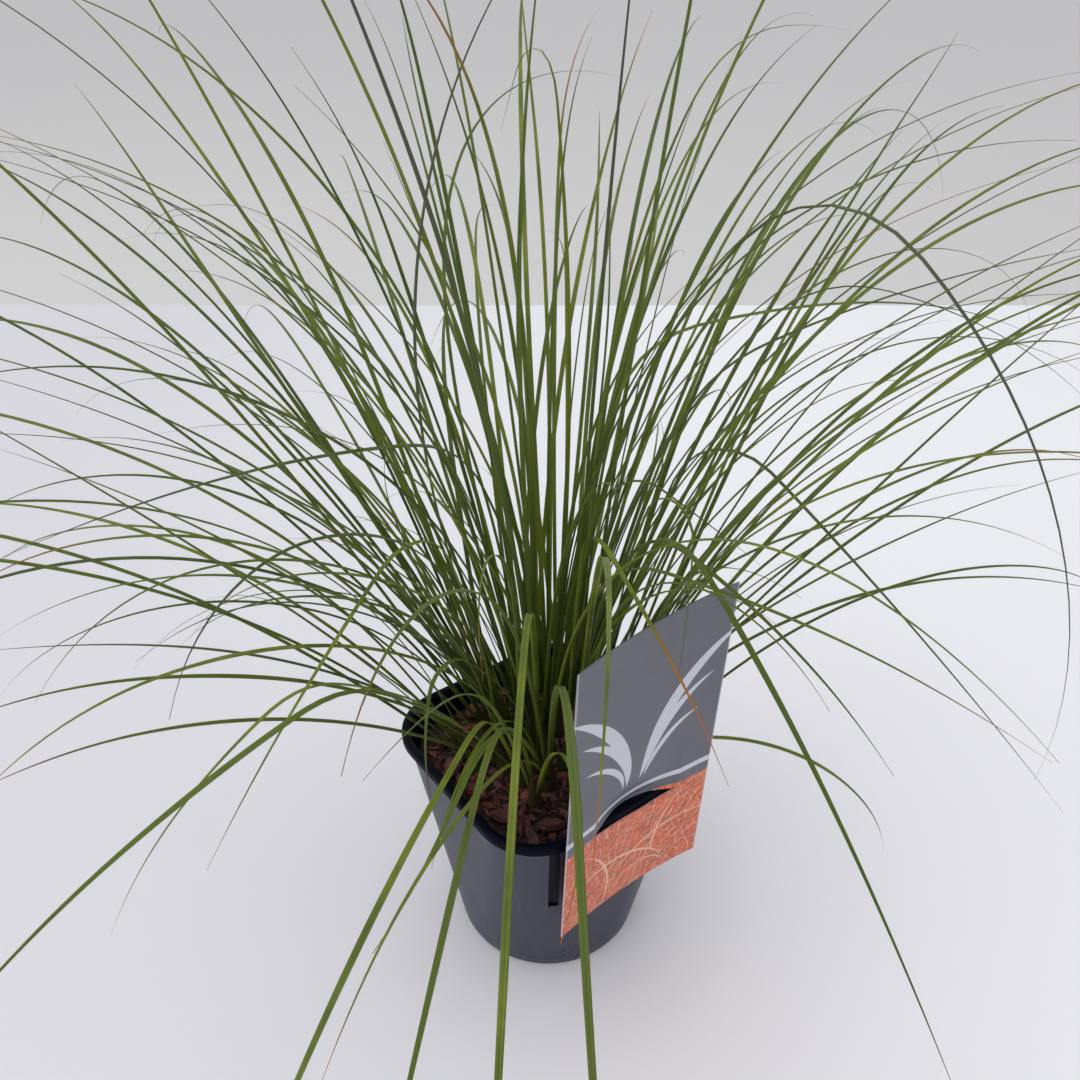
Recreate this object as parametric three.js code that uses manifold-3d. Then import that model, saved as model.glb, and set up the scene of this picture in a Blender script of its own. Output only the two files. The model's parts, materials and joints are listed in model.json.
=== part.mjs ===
// A potted orange sedge: a square-round nursery pot, its substrate with bark chips on top,
// a clump of sedge tufts that stand in holes in the substrate, and a plastic plant label on the rim.
// Millimetres, +Z up. The origin is the middle of the pot's foot, on the surface that it stands on.
import * as THREE from "three";
import { mergeVertices } from "three/addons/utils/BufferGeometryUtils.js";
import Module from "manifold-3d";

// Pot
const potSide = 110;
const potCorner = 27;
const potHeight = 106;
const potTurn = 37;
const baseRadius = 42;
const wall = 1.6;
const lipWidth = 4;
const lipDepth = 4;
const lipOverhang = 2.2;
const footRing = 5;
const footRise = 3;
const padRadius = 13;
const floorThick = 2;
const drainHoles = 8;
const drainRadius = 3.6;
const slot = { width: 4.5, length: 44, depth: 1.15, heading: -88, middle: 78 };
const slotCutter = { depth: 6, lean: 1.9 };

// Substrate and bark
const soilTop = 95;
const gap = 0.3;
const chipCount = 14;
const chip = { reach: 40.5, corner: 5, long: [12.5, 15.5], broad: [6.5, 9.5], high: [2.4, 4.2], sides: 7 };

// Tufts
const tuftPitch = 10.4;
const footRadius = 3.9;
const footSunk = 12;
const sheathHeight = 20;
const rootReach = 2.6;
const rootShare = { low: 0.1, more: 0.45 };
const sheathLean = 0.16;
const bladeThick = 0.7;
const bladeShape = { foot: 0.8, widen: 2, taper: 2.6, point: 0.08 };
const lineSteps = 48;
const rowStep = 8;
const sheathSteps = 3;
const bendSpan = 0.16;
const clear = 0.15;
const plantClear = { rimReach: 45, rimAbove: 2, barkReach: 33, barkAbove: 7, ground: 4, card: 4.5 };
const named = { tries: 90, stray: 0.1 };
const ruled = { tries: 30, stray: 0.6 };
const golden = 0.618034;

// Plant label
const label = { width: 76, above: 106, below: 55, thick: 0.6, tilt: 3.5, lean: 6, bow: 3 };
const labelShift = 1.5;
const labelOut = potSide / 2 + 1;
const labelLevel = potHeight - 2;
const slit = { half: 25, inside: 5, tucked: 23, above: 3.6, below: 1.2, fade: 34 };

const wasm = await Module();
wasm.setup();
const degrees = Math.PI / 180;
const clamp = (value, low, high) => Math.min(Math.max(value, low), high);

// Turns a closed geometry into a solid.
function solidOf(geometry) {
  const bare = geometry.clone();
  bare.deleteAttribute("normal");
  bare.deleteAttribute("uv");
  const merged = mergeVertices(bare, 1e-3);
  const mesh = new wasm.Mesh({
    numProp: 3,
    vertProperties: new Float32Array(merged.attributes.position.array),
    triVerts: new Uint32Array(merged.index.array),
  });
  return new wasm.Manifold(mesh);
}

// Turns a solid into a named mesh.
function meshOf(name, solid, material) {
  const { vertProperties, triVerts } = solid.getMesh();
  const geometry = new THREE.BufferGeometry();
  geometry.setAttribute("position", new THREE.BufferAttribute(vertProperties, 3));
  geometry.setIndex(new THREE.BufferAttribute(triVerts, 1));
  geometry.computeVertexNormals();
  const mesh = new THREE.Mesh(geometry, material);
  mesh.name = name;
  return mesh;
}

// A closed skin over rings of points, each ring anticlockwise seen from above, from the lowest ring up.
function loft(rings) {
  const around = rings[0].length;
  const index = [];
  for (let level = 0; level + 1 < rings.length; level++) {
    for (let i = 0; i < around; i++) {
      const a = level * around + i;
      const b = level * around + ((i + 1) % around);
      index.push(a, b, b + around, a, b + around, a + around);
    }
  }
  const last = (rings.length - 1) * around;
  for (let i = 1; i + 1 < around; i++) {
    index.push(0, i + 1, i);
    index.push(last, last + i, last + i + 1);
  }
  const geometry = new THREE.BufferGeometry();
  const places = rings.flat().flatMap((point) => point.toArray());
  geometry.setAttribute("position", new THREE.Float32BufferAttribute(places, 3));
  geometry.setIndex(index);
  return geometry;
}

// The same draws every time, from one whole number.
function diceFrom(seed) {
  let state = Math.imul(seed + 1, 2654435761) >>> 0;
  const next = () => {
    state = (Math.imul(state, 1664525) + 1013904223) >>> 0;
    return state / 4294967296;
  };
  next();
  next();
  return (low, high) => low + (high - low) * next();
}

function disc(radius, z, x = 0, y = 0, sides = 32) {
  const points = [];
  for (let i = 0; i < sides; i++) {
    const angle = (i / sides) * 2 * Math.PI;
    points.push(new THREE.Vector3(x + radius * Math.cos(angle), y + radius * Math.sin(angle), z));
  }
  return points;
}

// A square with rounded corners, turned as the pot is, at one height.
function roundedSquare(half, radius, z) {
  const cornerSteps = 5;
  const points = [];
  for (let corner = 0; corner < 4; corner++) {
    const diagonal = (corner * 90 + 45 + potTurn) * degrees;
    const reach = (half - radius) * Math.SQRT2;
    for (let step = 0; step <= cornerSteps; step++) {
      const angle = ((corner + step / cornerSteps) * 90 + potTurn) * degrees;
      const x = reach * Math.cos(diagonal) + radius * Math.cos(angle);
      const y = reach * Math.sin(diagonal) + radius * Math.sin(angle);
      points.push(new THREE.Vector3(x, y, z));
    }
  }
  return points;
}

// The wall's outline at a height: a rounded square under the lip that runs into a circle at the base.
function wallRing(z, inset) {
  const t = clamp(z / potHeight, 0, 1);
  const half = baseRadius + (potSide / 2 - lipOverhang - baseRadius) * t - inset;
  const radius = (baseRadius - 0.5) + (potCorner - lipOverhang - baseRadius) * t - inset;
  return roundedSquare(half, radius, z);
}

function makePot() {
  const half = potSide / 2;
  const outer = solidOf(loft([
    wallRing(0, 1),
    wallRing(1.2, 0),
    wallRing(potHeight - lipDepth - 1.5, 0),
    roundedSquare(half, potCorner, potHeight - lipDepth),
    roundedSquare(half, potCorner, potHeight - 1),
    roundedSquare(half - 0.9, potCorner - 0.9, potHeight),
  ]));
  const inside = half - lipWidth;
  const corner = potCorner - lipWidth;
  const hollow = solidOf(loft([
    wallRing(footRise + floorThick, wall + 0.6),
    wallRing(footRise + floorThick + 3, wall),
    wallRing(potHeight - lipDepth - 1, wall),
    roundedSquare(inside, corner, potHeight - 1),
    roundedSquare(inside + 0.6, corner + 0.6, potHeight + 1),
  ]));
  const channelWide = baseRadius - footRing;
  const channel = solidOf(loft([disc(channelWide + 0.5, -1), disc(channelWide - 1, footRise)]));
  const pad = solidOf(loft([disc(padRadius, -2), disc(padRadius + 1, footRise + 1)]));
  let pot = outer.subtract(hollow).subtract(channel.subtract(pad));
  const drainAt = (channelWide + padRadius) / 2;
  for (let i = 0; i < drainHoles; i++) {
    const angle = ((i + 0.5) / drainHoles) * 2 * Math.PI;
    const x = drainAt * Math.cos(angle);
    const y = drainAt * Math.sin(angle);
    const drill = loft([disc(drainRadius, -1, x, y, 8), disc(drainRadius, 9, x, y, 8)]);
    pot = pot.subtract(solidOf(drill));
  }
  return pot.subtract(makeSlotCutter());
}

// The narrow upright recess in the wall near the front corner.
function makeSlotCutter() {
  const heading = slot.heading * degrees;
  const taper = Math.atan2(potSide / 2 - lipOverhang - baseRadius, potHeight);
  const outline = wallRing(slot.middle, 0).map((p) => p.x * Math.cos(heading) + p.y * Math.sin(heading));
  const box = new THREE.BoxGeometry(slotCutter.depth, slot.width, slot.length);
  box.rotateY(taper * slotCutter.lean);
  box.translate(Math.max(...outline) + slotCutter.depth / 2 - slot.depth, 0, slot.middle);
  box.rotateZ(heading);
  return solidOf(box);
}

// Where the tufts stand: one in the middle and three rings round it.
function tuftPlaces() {
  const places = [{ x: 0, y: 0, heading: 0, ring: 0 }];
  const rings = [
    { ring: 1, count: 6, start: 10, reach: tuftPitch },
    { ring: 2, count: 12, start: 0, reach: 2 * tuftPitch },
    { ring: 3, count: 6, start: 20, reach: 2.9 * tuftPitch },
  ];
  for (const { ring, count, start, reach } of rings) {
    for (let i = 0; i < count; i++) {
      const heading = start + (i * 360) / count;
      const x = reach * Math.cos(heading * degrees);
      const y = reach * Math.sin(heading * degrees);
      places.push({ x, y, heading, ring });
    }
  }
  return places;
}

// The long blades that give this plant its outline. Each row is the heading, the rise at the foot,
// the length, the fall in slope along it, how late the fall comes, the sideways sweep and the width.
// Where a blade has a sharp bend as well, the row ends with how far it turns and where it comes.
const namedBlades = [
  // left and high
  [-160, 89, 335, 76, 1.5, 0, 2.0],
  [-145, 89, 340, 72, 1.35, 0, 2.2],
  [152, 60, 450, 72, 1.5, -3, 2.2],
  [-175, 88, 338, 82, 1.6, 0, 1.8],
  [141, 48, 450, 69, 1.7, 4, 2.0],
  [160, 60, 400, 50, 1.4, -42, 2.0],
  [138, 46, 520, 88, 2.1, -8, 2.0],
  [-155, 74, 332, 57, 1.5, 0, 2.0],
  [-168, 88, 308, 102, 1.3, 0, 2.2],
  [-160, 70, 305, 52, 1.4, 0, 1.8],
  [-140, 89, 278, 50, 1.3, 0, 2.0],
  [147, 76, 300, 92, 1.6, 0, 1.8],
  // middle
  [-130, 89, 300, 48, 1.9, 0, 1.8],
  [117, 45, 470, 62, 1.8, -15, 2.0],
  [-115, 84, 380, 32, 1.25, 0, 2.2],
  [-118, 89, 315, 38, 2.3, 0, 1.8],
  [-114, 89, 345, 75, 3.6, 0, 2.0],
  [-150, 74, 345, -72, 2.45, 0, 1.8],
  [-40, 88, 340, 4, 2, 0, 2.0],
  [-110, 86, 330, -50, 3.5, 0, 2.0],
  [60, 89, 325, 15, 1, 70, 1.8, 135, 0.86],
  [147, 78, 425, 94, 1.4, -112, 1.6],
  [30, 89, 335, 60, 3, 0, 1.6, 40, 0.85],
  [10, 86, 285, 10, 1.2, 0, 1.6],
  [-44, 89, 455, 110, 1.75, 0, 2.2, 72, 0.6],
  // right and high
  [-20, 89, 340, 75, 1.8, 0, 2.2],
  [-22, 89, 335, 72, 1.75, 0, 2.0],
  [-20, 88, 330, 85, 2.1, 0, 2.0],
  [-20, 88, 320, 72, 1.5, 0, 2.0],
  [-22, 85, 330, 60, 1.35, 0, 2.2],
  [20, 76, 425, 108, 1.5, 0, 2.4],
  [57, 60, 540, 114, 1.8, -8, 2.0],
  [65, 62, 450, 85, 1.6, -14, 2.0],
  [47, 50, 425, 48, 1.6, 7, 2.2],
  [8, 80, 325, 150, 3, 0, 1.8],
  [-10, 89, 315, 50, 1.1, 0, 2.0, 28, 0.58],
  [20, 89, 385, 48, 1.9, 0, 2.0, 70, 0.46],
  [-2, 89, 340, 78, 1.35, 0, 2.0, 52, 0.66],
  [-20, 83, 305, 86, 1.8, 0, 2.0],
  [25, 62, 415, 115, 1.4, 0, 2.2],
  [-20, 61, 290, 4, 1, 0, 2.0],
  [-22, 71, 275, 40, 1.3, 0, 2.2],
  [-10, 60, 240, 34, 1, 0, 2.0],
  [-22, 70, 245, 94, 1.7, 0, 2.2],
  [-20, 61, 230, 68, 1.5, 0, 2.2],
  // front
  [-74, 89, 225, 15, 1, 0, 2.2, 100, 0.54],
  [-10, 89, 195, 8, 1, 0, 1.8, 115, 0.68],
  [-94, 78, 390, 50, 1, 2, 2.6, 70, 0.32],
  [-89, 66, 380, 100, 1.5, 0, 2.4],
  [-106, 62, 300, 30, 1.5, 0, 2.4, 50, 0.28],
  [-102, 60, 300, 30, 1, -3, 2.4, 70, 0.42],
  [-102, 58, 235, 72, 1.2, -6, 2.0],
  [-130, 78, 175, 60, 1, 0, 1.8, 115, 0.58],
  [-108, 66, 150, 105, 1.7, 0, 1.8],
  [-65, 78, 340, 40, 1, 0, 2.4, 90, 0.46],
  [-16, 45, 160, 120, 1.2, 0, 2.2],
  [-42, 86, 245, 55, 1.3, 0, 2.0, 75, 0.54],
  [-35, 83, 262, 30, 1.4, 0, 2.4, 70, 0.41],
  [-20, 80, 343, 12, 1, 0, 2.2, 110, 0.48],
  [-50, 78, 245, 10, 1, 0, 1.6, 160, 0.66],
  // left and low
  [-150, 70, 290, 44, 1.3, 0, 2.2],
  [-152, 76, 290, 70, 1.3, 0, 2.2],
  [-140, 89, 306, 49, 1, 0, 2.2, 46, 0.53],
  [-152, 56, 290, 9, 1.2, 0, 1.8],
  [-166, 67, 370, 139, 1.3, -1, 2.2],
  [-160, 68, 245, 96, 1.5, 0, 2.2],
  [-160, 56, 226, 52, 1, 0, 2.2],
  [-151, 59, 226, 57, 1, 0, 2.4],
  [-148, 71, 252, 102, 1.1, 0, 2.4],
  [-152, 47, 218, 54, 1.2, 0, 2.4],
  [-139, 63, 230, 70, 1.2, 0, 2.0, 48, 0.55],
  [-130, 64, 290, 50, 1, 0, 2.4, 42, 0.45],
  [-142, 76, 275, 8, 1, 0, 2.0, 118, 0.48],
  [-175, 78, 188, 125, 1.3, 0, 1.8],
  [-170, 84, 196, 140, 1.5, 0, 2.0],
].map(([heading, rise, length, fall, bend, sweep, width, drop = 0, at = 0.5]) => (
  { heading, rise, length, fall, bend, sweep, width, drop, at, named: true }
));

// The other blades of each tuft, ring by ring: steep in the middle, leaning further out at the edge,
// and fewer, shorter and steeper on the front, where the plant is thin.
const ringRules = [
  { count: 8, spread: 180, rise: [80, 88], tip: [14, 62] },
  { count: 9, spread: 56, rise: [68, 85], tip: [-8, 56] },
  { count: 8, spread: 34, rise: [56, 77], tip: [-48, 36] },
  { count: 7, spread: 36, rise: [44, 64], tip: [-62, 8] },
];

// Where the plant is thin: the heading of each thin side and the share of blades missing there.
const thinSides = [
  { heading: -90, missing: 0.62 },
  { heading: 8, missing: 0.25 },
];

function fullnessAt(heading) {
  const missing = thinSides.map((side) => (
    side.missing * Math.max(0, Math.cos((heading - side.heading) * degrees))
  ));
  return 1 - Math.max(...missing);
}

function ruledBlades(places, outline) {
  const blades = [];
  places.forEach(({ heading: middle, ring }, tuft) => {
    const roll = diceFrom(100 + tuft);
    const rule = ringRules[ring];
    const fullness = ring ? fullnessAt(middle) : 1;
    const own = outline.filter((blade) => blade.tuft === tuft).length;
    const count = Math.max(2, Math.round(rule.count * fullness - 0.6 * own));
    for (let i = 0; i < count; i++) {
      const aside = (i * golden + 0.3) % 1;
      const heading = middle + rule.spread * (2 * aside - 1) + roll(-5, 5);
      const near = Math.max(0, -Math.sin(heading * degrees));
      const [low, high] = rule.rise;
      const upright = low + ((i + roll(0.2, 0.8)) / count) * (high - low);
      const rise = Math.min(upright + (ring > 1 ? 20 : 8) * near, 89);
      const drop = 0;
      const at = 0.5;
      const length = roll(260, 450) - roll(40, 150) * near;
      const fall = Math.max(rise - roll(...rule.tip), 12);
      const bend = roll(1.2, 2.5);
      const sweep = roll(-24, 24);
      const width = roll(1.5, 2.4);
      blades.push({ tuft, heading, rise, length, fall, bend, sweep, width, drop, at });
    }
  });
  return blades;
}

// Which tuft a named blade belongs to: steep blades stand near the middle, low ones at the edge.
function tuftFor(blade, places) {
  const reach = 6 + 22 * clamp((88 - blade.rise) / 50, 0, 1.1);
  const x = reach * Math.cos(blade.heading * degrees);
  const y = reach * Math.sin(blade.heading * degrees);
  let best = 0;
  places.forEach((place, i) => {
    if (Math.hypot(place.x - x, place.y - y) < Math.hypot(places[best].x - x, places[best].y - y)) {
      best = i;
    }
  });
  return best;
}

// A blade's root, within its tuft's foot: the steeper the blade, the higher up the sheath.
function rootOf(blade, places) {
  const place = places[blade.tuft];
  const [foot, top] = sheathLine(place);
  const share = rootShare.low + rootShare.more * clamp((blade.rise - 45) / 45, 0, 1);
  const root = foot.lerp(top, share);
  const angle = blade.heading * degrees;
  const reach = rootReach * (1 - 0.5 * share);
  return root.add(new THREE.Vector3(reach * Math.cos(angle), reach * Math.sin(angle), 0));
}

// A blade's slope at a share of its length: it falls gently, and where it has a sharp bend turns down there.
function slopeAt(blade, t) {
  const bent = clamp((t - blade.at) / bendSpan + 0.5, 0, 1);
  const gentle = blade.rise - blade.fall * t ** blade.bend;
  return (gentle - blade.drop * bent * bent * (3 - 2 * bent)) * degrees;
}

// The line that a blade follows, with its side and its upper face's direction at each step.
function lineOf(blade, places) {
  const root = rootOf(blade, places);
  const points = [root.clone()];
  const sides = [];
  const ups = [];
  const step = blade.length / lineSteps;
  const at = root.clone();
  for (let i = 0; i < lineSteps; i++) {
    const t = (i + 0.5) / lineSteps;
    const slope = slopeAt(blade, t);
    const heading = (blade.heading + blade.sweep * t) * degrees;
    const c = Math.cos(slope);
    const along = new THREE.Vector3(c * Math.cos(heading), c * Math.sin(heading), Math.sin(slope));
    const side = new THREE.Vector3(-Math.sin(heading), Math.cos(heading), 0);
    at.addScaledVector(along, step);
    points.push(at.clone());
    sides.push(side);
    ups.push(side.clone().cross(along).negate());
  }
  sides.push(sides[lineSteps - 1].clone());
  ups.push(ups[lineSteps - 1].clone());
  return { points, sides, ups };
}

// A blade's half width along its length: a narrow foot, an even middle and a long fine tip.
function halfWidth(blade, t) {
  const { foot, widen, taper, point } = bladeShape;
  return (blade.width / 2) * Math.min(foot + widen * t, 1) * clamp(taper * (1 - t) + point, 0, 1);
}

// Steps of the line from one row of corners to the next: fewer where the blade has a sharp bend.
const stepsOf = (blade) => (blade.drop ? rowStep / 2 : rowStep);

// The straight stretches of a blade's solid.
function stretchesOf(blade, line) {
  const stretches = [];
  const steps = stepsOf(blade);
  for (let i = 0; i < lineSteps; i += steps) {
    const middle = i + steps / 2;
    stretches.push({
      a: line.points[i],
      b: line.points[i + steps],
      outside: i ? line.points[i] : line.points[sheathSteps],
      side: line.sides[middle],
      up: line.ups[middle],
      half: halfWidth(blade, middle / lineSteps),
      thick: bladeThick / 2,
      tuft: blade.tuft,
      rooted: Boolean(blade.named) && i < 2 * rowStep,
    });
  }
  return stretches;
}

// The shortest way between two straight stretches.
function between(p, q) {
  const d1 = p.b.clone().sub(p.a);
  const d2 = q.b.clone().sub(q.a);
  const r = p.a.clone().sub(q.a);
  const a = d1.dot(d1);
  const e = d2.dot(d2);
  const f = d2.dot(r);
  const c = d1.dot(r);
  const b = d1.dot(d2);
  const denominator = a * e - b * b;
  let s = denominator > 1e-9 ? clamp((b * f - c * e) / denominator, 0, 1) : 0;
  let t = (b * s + f) / e;
  if (t < 0) {
    t = 0;
    s = clamp(-c / a, 0, 1);
  } else if (t > 1) {
    t = 1;
    s = clamp((b - c) / a, 0, 1);
  }
  return r.addScaledVector(d1, s).addScaledVector(d2, -t);
}

// How far a stretch's section reaches in a direction.
function reachOf(stretch, direction) {
  const across = stretch.half * Math.abs(stretch.side.dot(direction));
  return across + stretch.thick * Math.abs(stretch.up.dot(direction));
}

function apart(p, q) {
  const room = p.half + q.half + clear;
  for (const axis of ["x", "y", "z"]) {
    if (Math.min(p.a[axis], p.b[axis]) - Math.max(q.a[axis], q.b[axis]) > room) return true;
    if (Math.min(q.a[axis], q.b[axis]) - Math.max(p.a[axis], p.b[axis]) > room) return true;
  }
  const way = between(p, q);
  const distance = way.length();
  if (distance > room) return true;
  if (distance < 1e-6) return false;
  way.divideScalar(distance);
  return distance > reachOf(p, way) + reachOf(q, way) + clear;
}

// The label's frame: s along the pot's side, n out of it, z up.
const sideway = new THREE.Vector3(Math.cos(potTurn * degrees), Math.sin(potTurn * degrees), 0);
const outway = new THREE.Vector3(Math.sin(potTurn * degrees), -Math.cos(potTurn * degrees), 0);

// How far out the label stands, at s across and h above the slit.
function labelDepth(s, h) {
  const across = (s - labelShift) / (label.width / 2);
  return labelOut + h * Math.tan(label.lean * degrees) + label.bow * across * across;
}

// Whether a blade keeps off the label, the rim, the bark and the ground.
function keepsOff(line) {
  const { rimReach, rimAbove, barkReach, barkAbove, ground, card } = plantClear;
  let before = null;
  for (let i = 1; i < line.points.length; i++) {
    const p = line.points[i];
    const s = p.dot(sideway);
    const n = p.dot(outway);
    const h = p.z - labelLevel;
    const within = Math.abs(s - labelShift) < label.width / 2 + card;
    const onCard = within && h > -label.below - card && h < label.above + card;
    const off = n - labelDepth(s, h);
    if (onCard && (Math.abs(off) < card || (before !== null && before * off < 0))) return false;
    before = onCard ? off : null;
    const out = Math.max(Math.abs(s), Math.abs(n));
    const reach = Math.hypot(p.x, p.y);
    if (p.z < potHeight + rimAbove && out < potSide / 2 + 3 && reach > rimReach) return false;
    if (p.z < soilTop + barkAbove && reach > barkReach && out < potSide / 2) return false;
    if (p.z < ground) return false;
  }
  return true;
}

// Grows every blade, each turned a little aside where it would cross another tuft or the label.
function growBlades(places) {
  const outline = namedBlades.map((blade) => ({ ...blade, tuft: tuftFor(blade, places) }));
  const grown = [];
  const standing = places.map((place, tuft) => {
    const [a, b] = sheathLine(place);
    const side = new THREE.Vector3(1, 0, 0);
    const up = new THREE.Vector3(0, 1, 0);
    return { a, b, side, up, half: footRadius, thick: footRadius, tuft };
  });
  [...outline, ...ruledBlades(places, outline)].forEach((blade, number) => {
    const roll = diceFrom(1000 + number);
    const kind = blade.named ? named : ruled;
    for (let attempt = 0; attempt < kind.tries; attempt++) {
      const stray = attempt * kind.stray;
      const turned = {
        ...blade,
        heading: blade.heading + roll(-stray, stray),
        rise: Math.min(blade.rise + roll(-stray, stray) * 0.6, 89),
        sweep: blade.sweep + roll(-stray, stray),
      };
      const line = lineOf(turned, places);
      if (!keepsOff(line)) continue;
      const stretches = stretchesOf(turned, line);
      const free = stretches.every((mine) => standing.every((other) => {
        if (other.tuft !== mine.tuft) return apart(mine, other);
        if (!other.outside || mine.rooted) return true;
        return apart({ ...mine, a: mine.outside }, { ...other, a: other.outside });
      }));
      if (!free) continue;
      standing.push(...stretches);
      grown.push({ blade: turned, line });
      break;
    }
  });
  return grown;
}

// The middle line of a tuft's sheathed foot above the substrate, which leans outwards.
function sheathLine(place) {
  const lean = place.ring * sheathLean;
  const out = new THREE.Vector3(Math.cos(place.heading * degrees), Math.sin(place.heading * degrees), 0);
  const foot = new THREE.Vector3(place.x, place.y, soilTop);
  const top = foot.clone().addScaledVector(out, sheathHeight * lean);
  top.z += sheathHeight;
  return [foot, top];
}

// A tuft's foot: a round plug in the substrate that narrows into the sheaths above it.
function makeFoot(place) {
  const [foot, top] = sheathLine(place);
  const sides = 8;
  const ring = (radius, share) => {
    const middle = foot.clone().lerp(top, Math.max(share, 0));
    const z = share < 0 ? foot.z - footSunk : middle.z;
    return disc(radius, z, middle.x, middle.y, sides);
  };
  return solidOf(loft([
    ring(footRadius, -1),
    ring(footRadius, 0.04),
    ring(footRadius * 0.92, 0.4),
    ring(footRadius * 0.6, 0.8),
    ring(footRadius * 0.25, 1),
  ]));
}

// A blade: a flat upper face over a keel, drawn out to a point.
function makeBlade({ blade, line }) {
  const rows = [];
  for (let i = 0; i < lineSteps; i += stepsOf(blade)) {
    const half = halfWidth(blade, i / lineSteps);
    const { points, sides, ups } = line;
    const left = points[i].clone().addScaledVector(sides[i], half);
    const right = points[i].clone().addScaledVector(sides[i], -half);
    left.addScaledVector(ups[i], bladeThick / 2);
    right.addScaledVector(ups[i], bladeThick / 2);
    const keel = points[i].clone().addScaledVector(ups[i], -bladeThick / 2);
    rows.push([right, keel, left]);
  }
  const tip = line.points[lineSteps];
  const index = [0, 2, 1];
  for (let row = 0; row + 1 < rows.length; row++) {
    for (let i = 0; i < 3; i++) {
      const a = row * 3 + i;
      const b = row * 3 + ((i + 1) % 3);
      index.push(a, b, b + 3, a, b + 3, a + 3);
    }
  }
  const last = (rows.length - 1) * 3;
  const end = rows.length * 3;
  index.push(last, last + 1, end, last + 1, last + 2, end, last + 2, last, end);
  const geometry = new THREE.BufferGeometry();
  const places = [...rows.flat(), tip].flatMap((point) => point.toArray());
  geometry.setAttribute("position", new THREE.Float32BufferAttribute(places, 3));
  geometry.setIndex(index);
  return solidOf(geometry);
}

function makeSubstrate(places) {
  let soil = solidOf(loft([
    wallRing(footRise + floorThick + gap, wall + 0.6 + gap),
    wallRing(footRise + floorThick + 3 + gap, wall + gap),
    wallRing(soilTop - 1, wall + gap),
    wallRing(soilTop, wall + gap + 1.2),
  ]));
  const holeSides = 6;
  const holeRadius = (footRadius + gap) / Math.cos(Math.PI / holeSides);
  for (const { x, y } of places) {
    const bottom = soilTop - footSunk - gap;
    soil = soil.subtract(solidOf(loft([
      disc(holeRadius, bottom, x, y, holeSides),
      disc(holeRadius, soilTop + 1, x, y, holeSides),
    ])));
  }
  return soil;
}

// A rough flat chip of bark that lies on the substrate between the plant and the wall.
function makeChip(number) {
  const roll = diceFrom(300 + number);
  const angle = ((number + 0.5) / chipCount) * 360 + roll(-3, 3);
  const reach = chip.reach + chip.corner * Math.abs(Math.sin(2 * (angle - potTurn) * degrees));
  const long = roll(...chip.long) / 2;
  const broad = roll(...chip.broad) / 2;
  const high = roll(...chip.high);
  const turn = (angle + 90 + roll(-22, 22)) * degrees;
  const outline = [];
  for (let i = 0; i < chip.sides; i++) {
    const a = (i / chip.sides) * 2 * Math.PI + roll(-0.2, 0.2);
    outline.push(new THREE.Vector2(long * Math.cos(a), broad * Math.sin(a)).multiplyScalar(roll(0.86, 1.06)));
  }
  const ring = (scale, z) => outline.map((p) => {
    const x = reach * Math.cos(angle * degrees) + scale * (p.x * Math.cos(turn) - p.y * Math.sin(turn));
    const y = reach * Math.sin(angle * degrees) + scale * (p.x * Math.sin(turn) + p.y * Math.cos(turn));
    return new THREE.Vector3(x, y, z);
  });
  const low = soilTop + gap;
  return solidOf(loft([ring(0.86, low), ring(1, low + high * 0.45), ring(0.74, low + high)]));
}

// The label's middle surface at u across and v up the card, with its lower lip outside the rim
// and its upper lip bent in over the rim.
function labelPoint(u, v, skin) {
  const tilt = label.tilt * degrees;
  const s = labelShift + u * Math.cos(tilt) - v * Math.sin(tilt);
  const h = v * Math.cos(tilt) + u * Math.sin(tilt);
  const near = Math.max(0, 1 - (u / slit.tucked) ** 2);
  const above = clamp((h + 1) / (slit.above + 1), 0, 1);
  const fade = clamp(1 - (h - slit.above) / slit.fade, 0, 1);
  const inward = slit.inside * near * above * fade * fade;
  const n = labelDepth(s, h) - inward + skin;
  return new THREE.Vector3()
    .addScaledVector(sideway, s)
    .addScaledVector(outway, n)
    .setZ(labelLevel + h);
}

function makeLabel() {
  const { width, above, below, thick } = label;
  const columns = [-1, -0.78, -0.52, -0.26, 0, 0.26, 0.52, 0.78, 1].map((c) => (c * width) / 2);
  const rows = [-below, -2, 0, slit.above / 2, slit.above, 11, 22, 44, above];
  const across = columns.length;
  const skinAt = (skin) => rows.flatMap((v) => columns.map((u) => labelPoint(u, v, skin)));
  const points = [...skinAt(thick / 2), ...skinAt(-thick / 2)];
  const at = (skin, row, column) => (skin * rows.length + row) * across + column;
  const index = [];
  const quad = (a, b, c, d) => index.push(a, b, c, a, c, d);
  for (let r = 0; r + 1 < rows.length; r++) {
    for (let c = 0; c + 1 < across; c++) {
      quad(at(0, r, c), at(0, r, c + 1), at(0, r + 1, c + 1), at(0, r + 1, c));
      quad(at(1, r, c), at(1, r + 1, c), at(1, r + 1, c + 1), at(1, r, c + 1));
    }
    quad(at(0, r, 0), at(0, r + 1, 0), at(1, r + 1, 0), at(1, r, 0));
    quad(at(0, r, across - 1), at(1, r, across - 1), at(1, r + 1, across - 1), at(0, r + 1, across - 1));
  }
  for (let c = 0; c + 1 < across; c++) {
    const top = rows.length - 1;
    quad(at(0, 0, c), at(1, 0, c), at(1, 0, c + 1), at(0, 0, c + 1));
    quad(at(0, top, c), at(0, top, c + 1), at(1, top, c + 1), at(1, top, c));
  }
  const geometry = new THREE.BufferGeometry();
  const places = points.flatMap((point) => point.toArray());
  geometry.setAttribute("position", new THREE.Float32BufferAttribute(places, 3));
  geometry.setIndex(index);
  return solidOf(geometry).subtract(makeSlitCutter());
}

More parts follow.
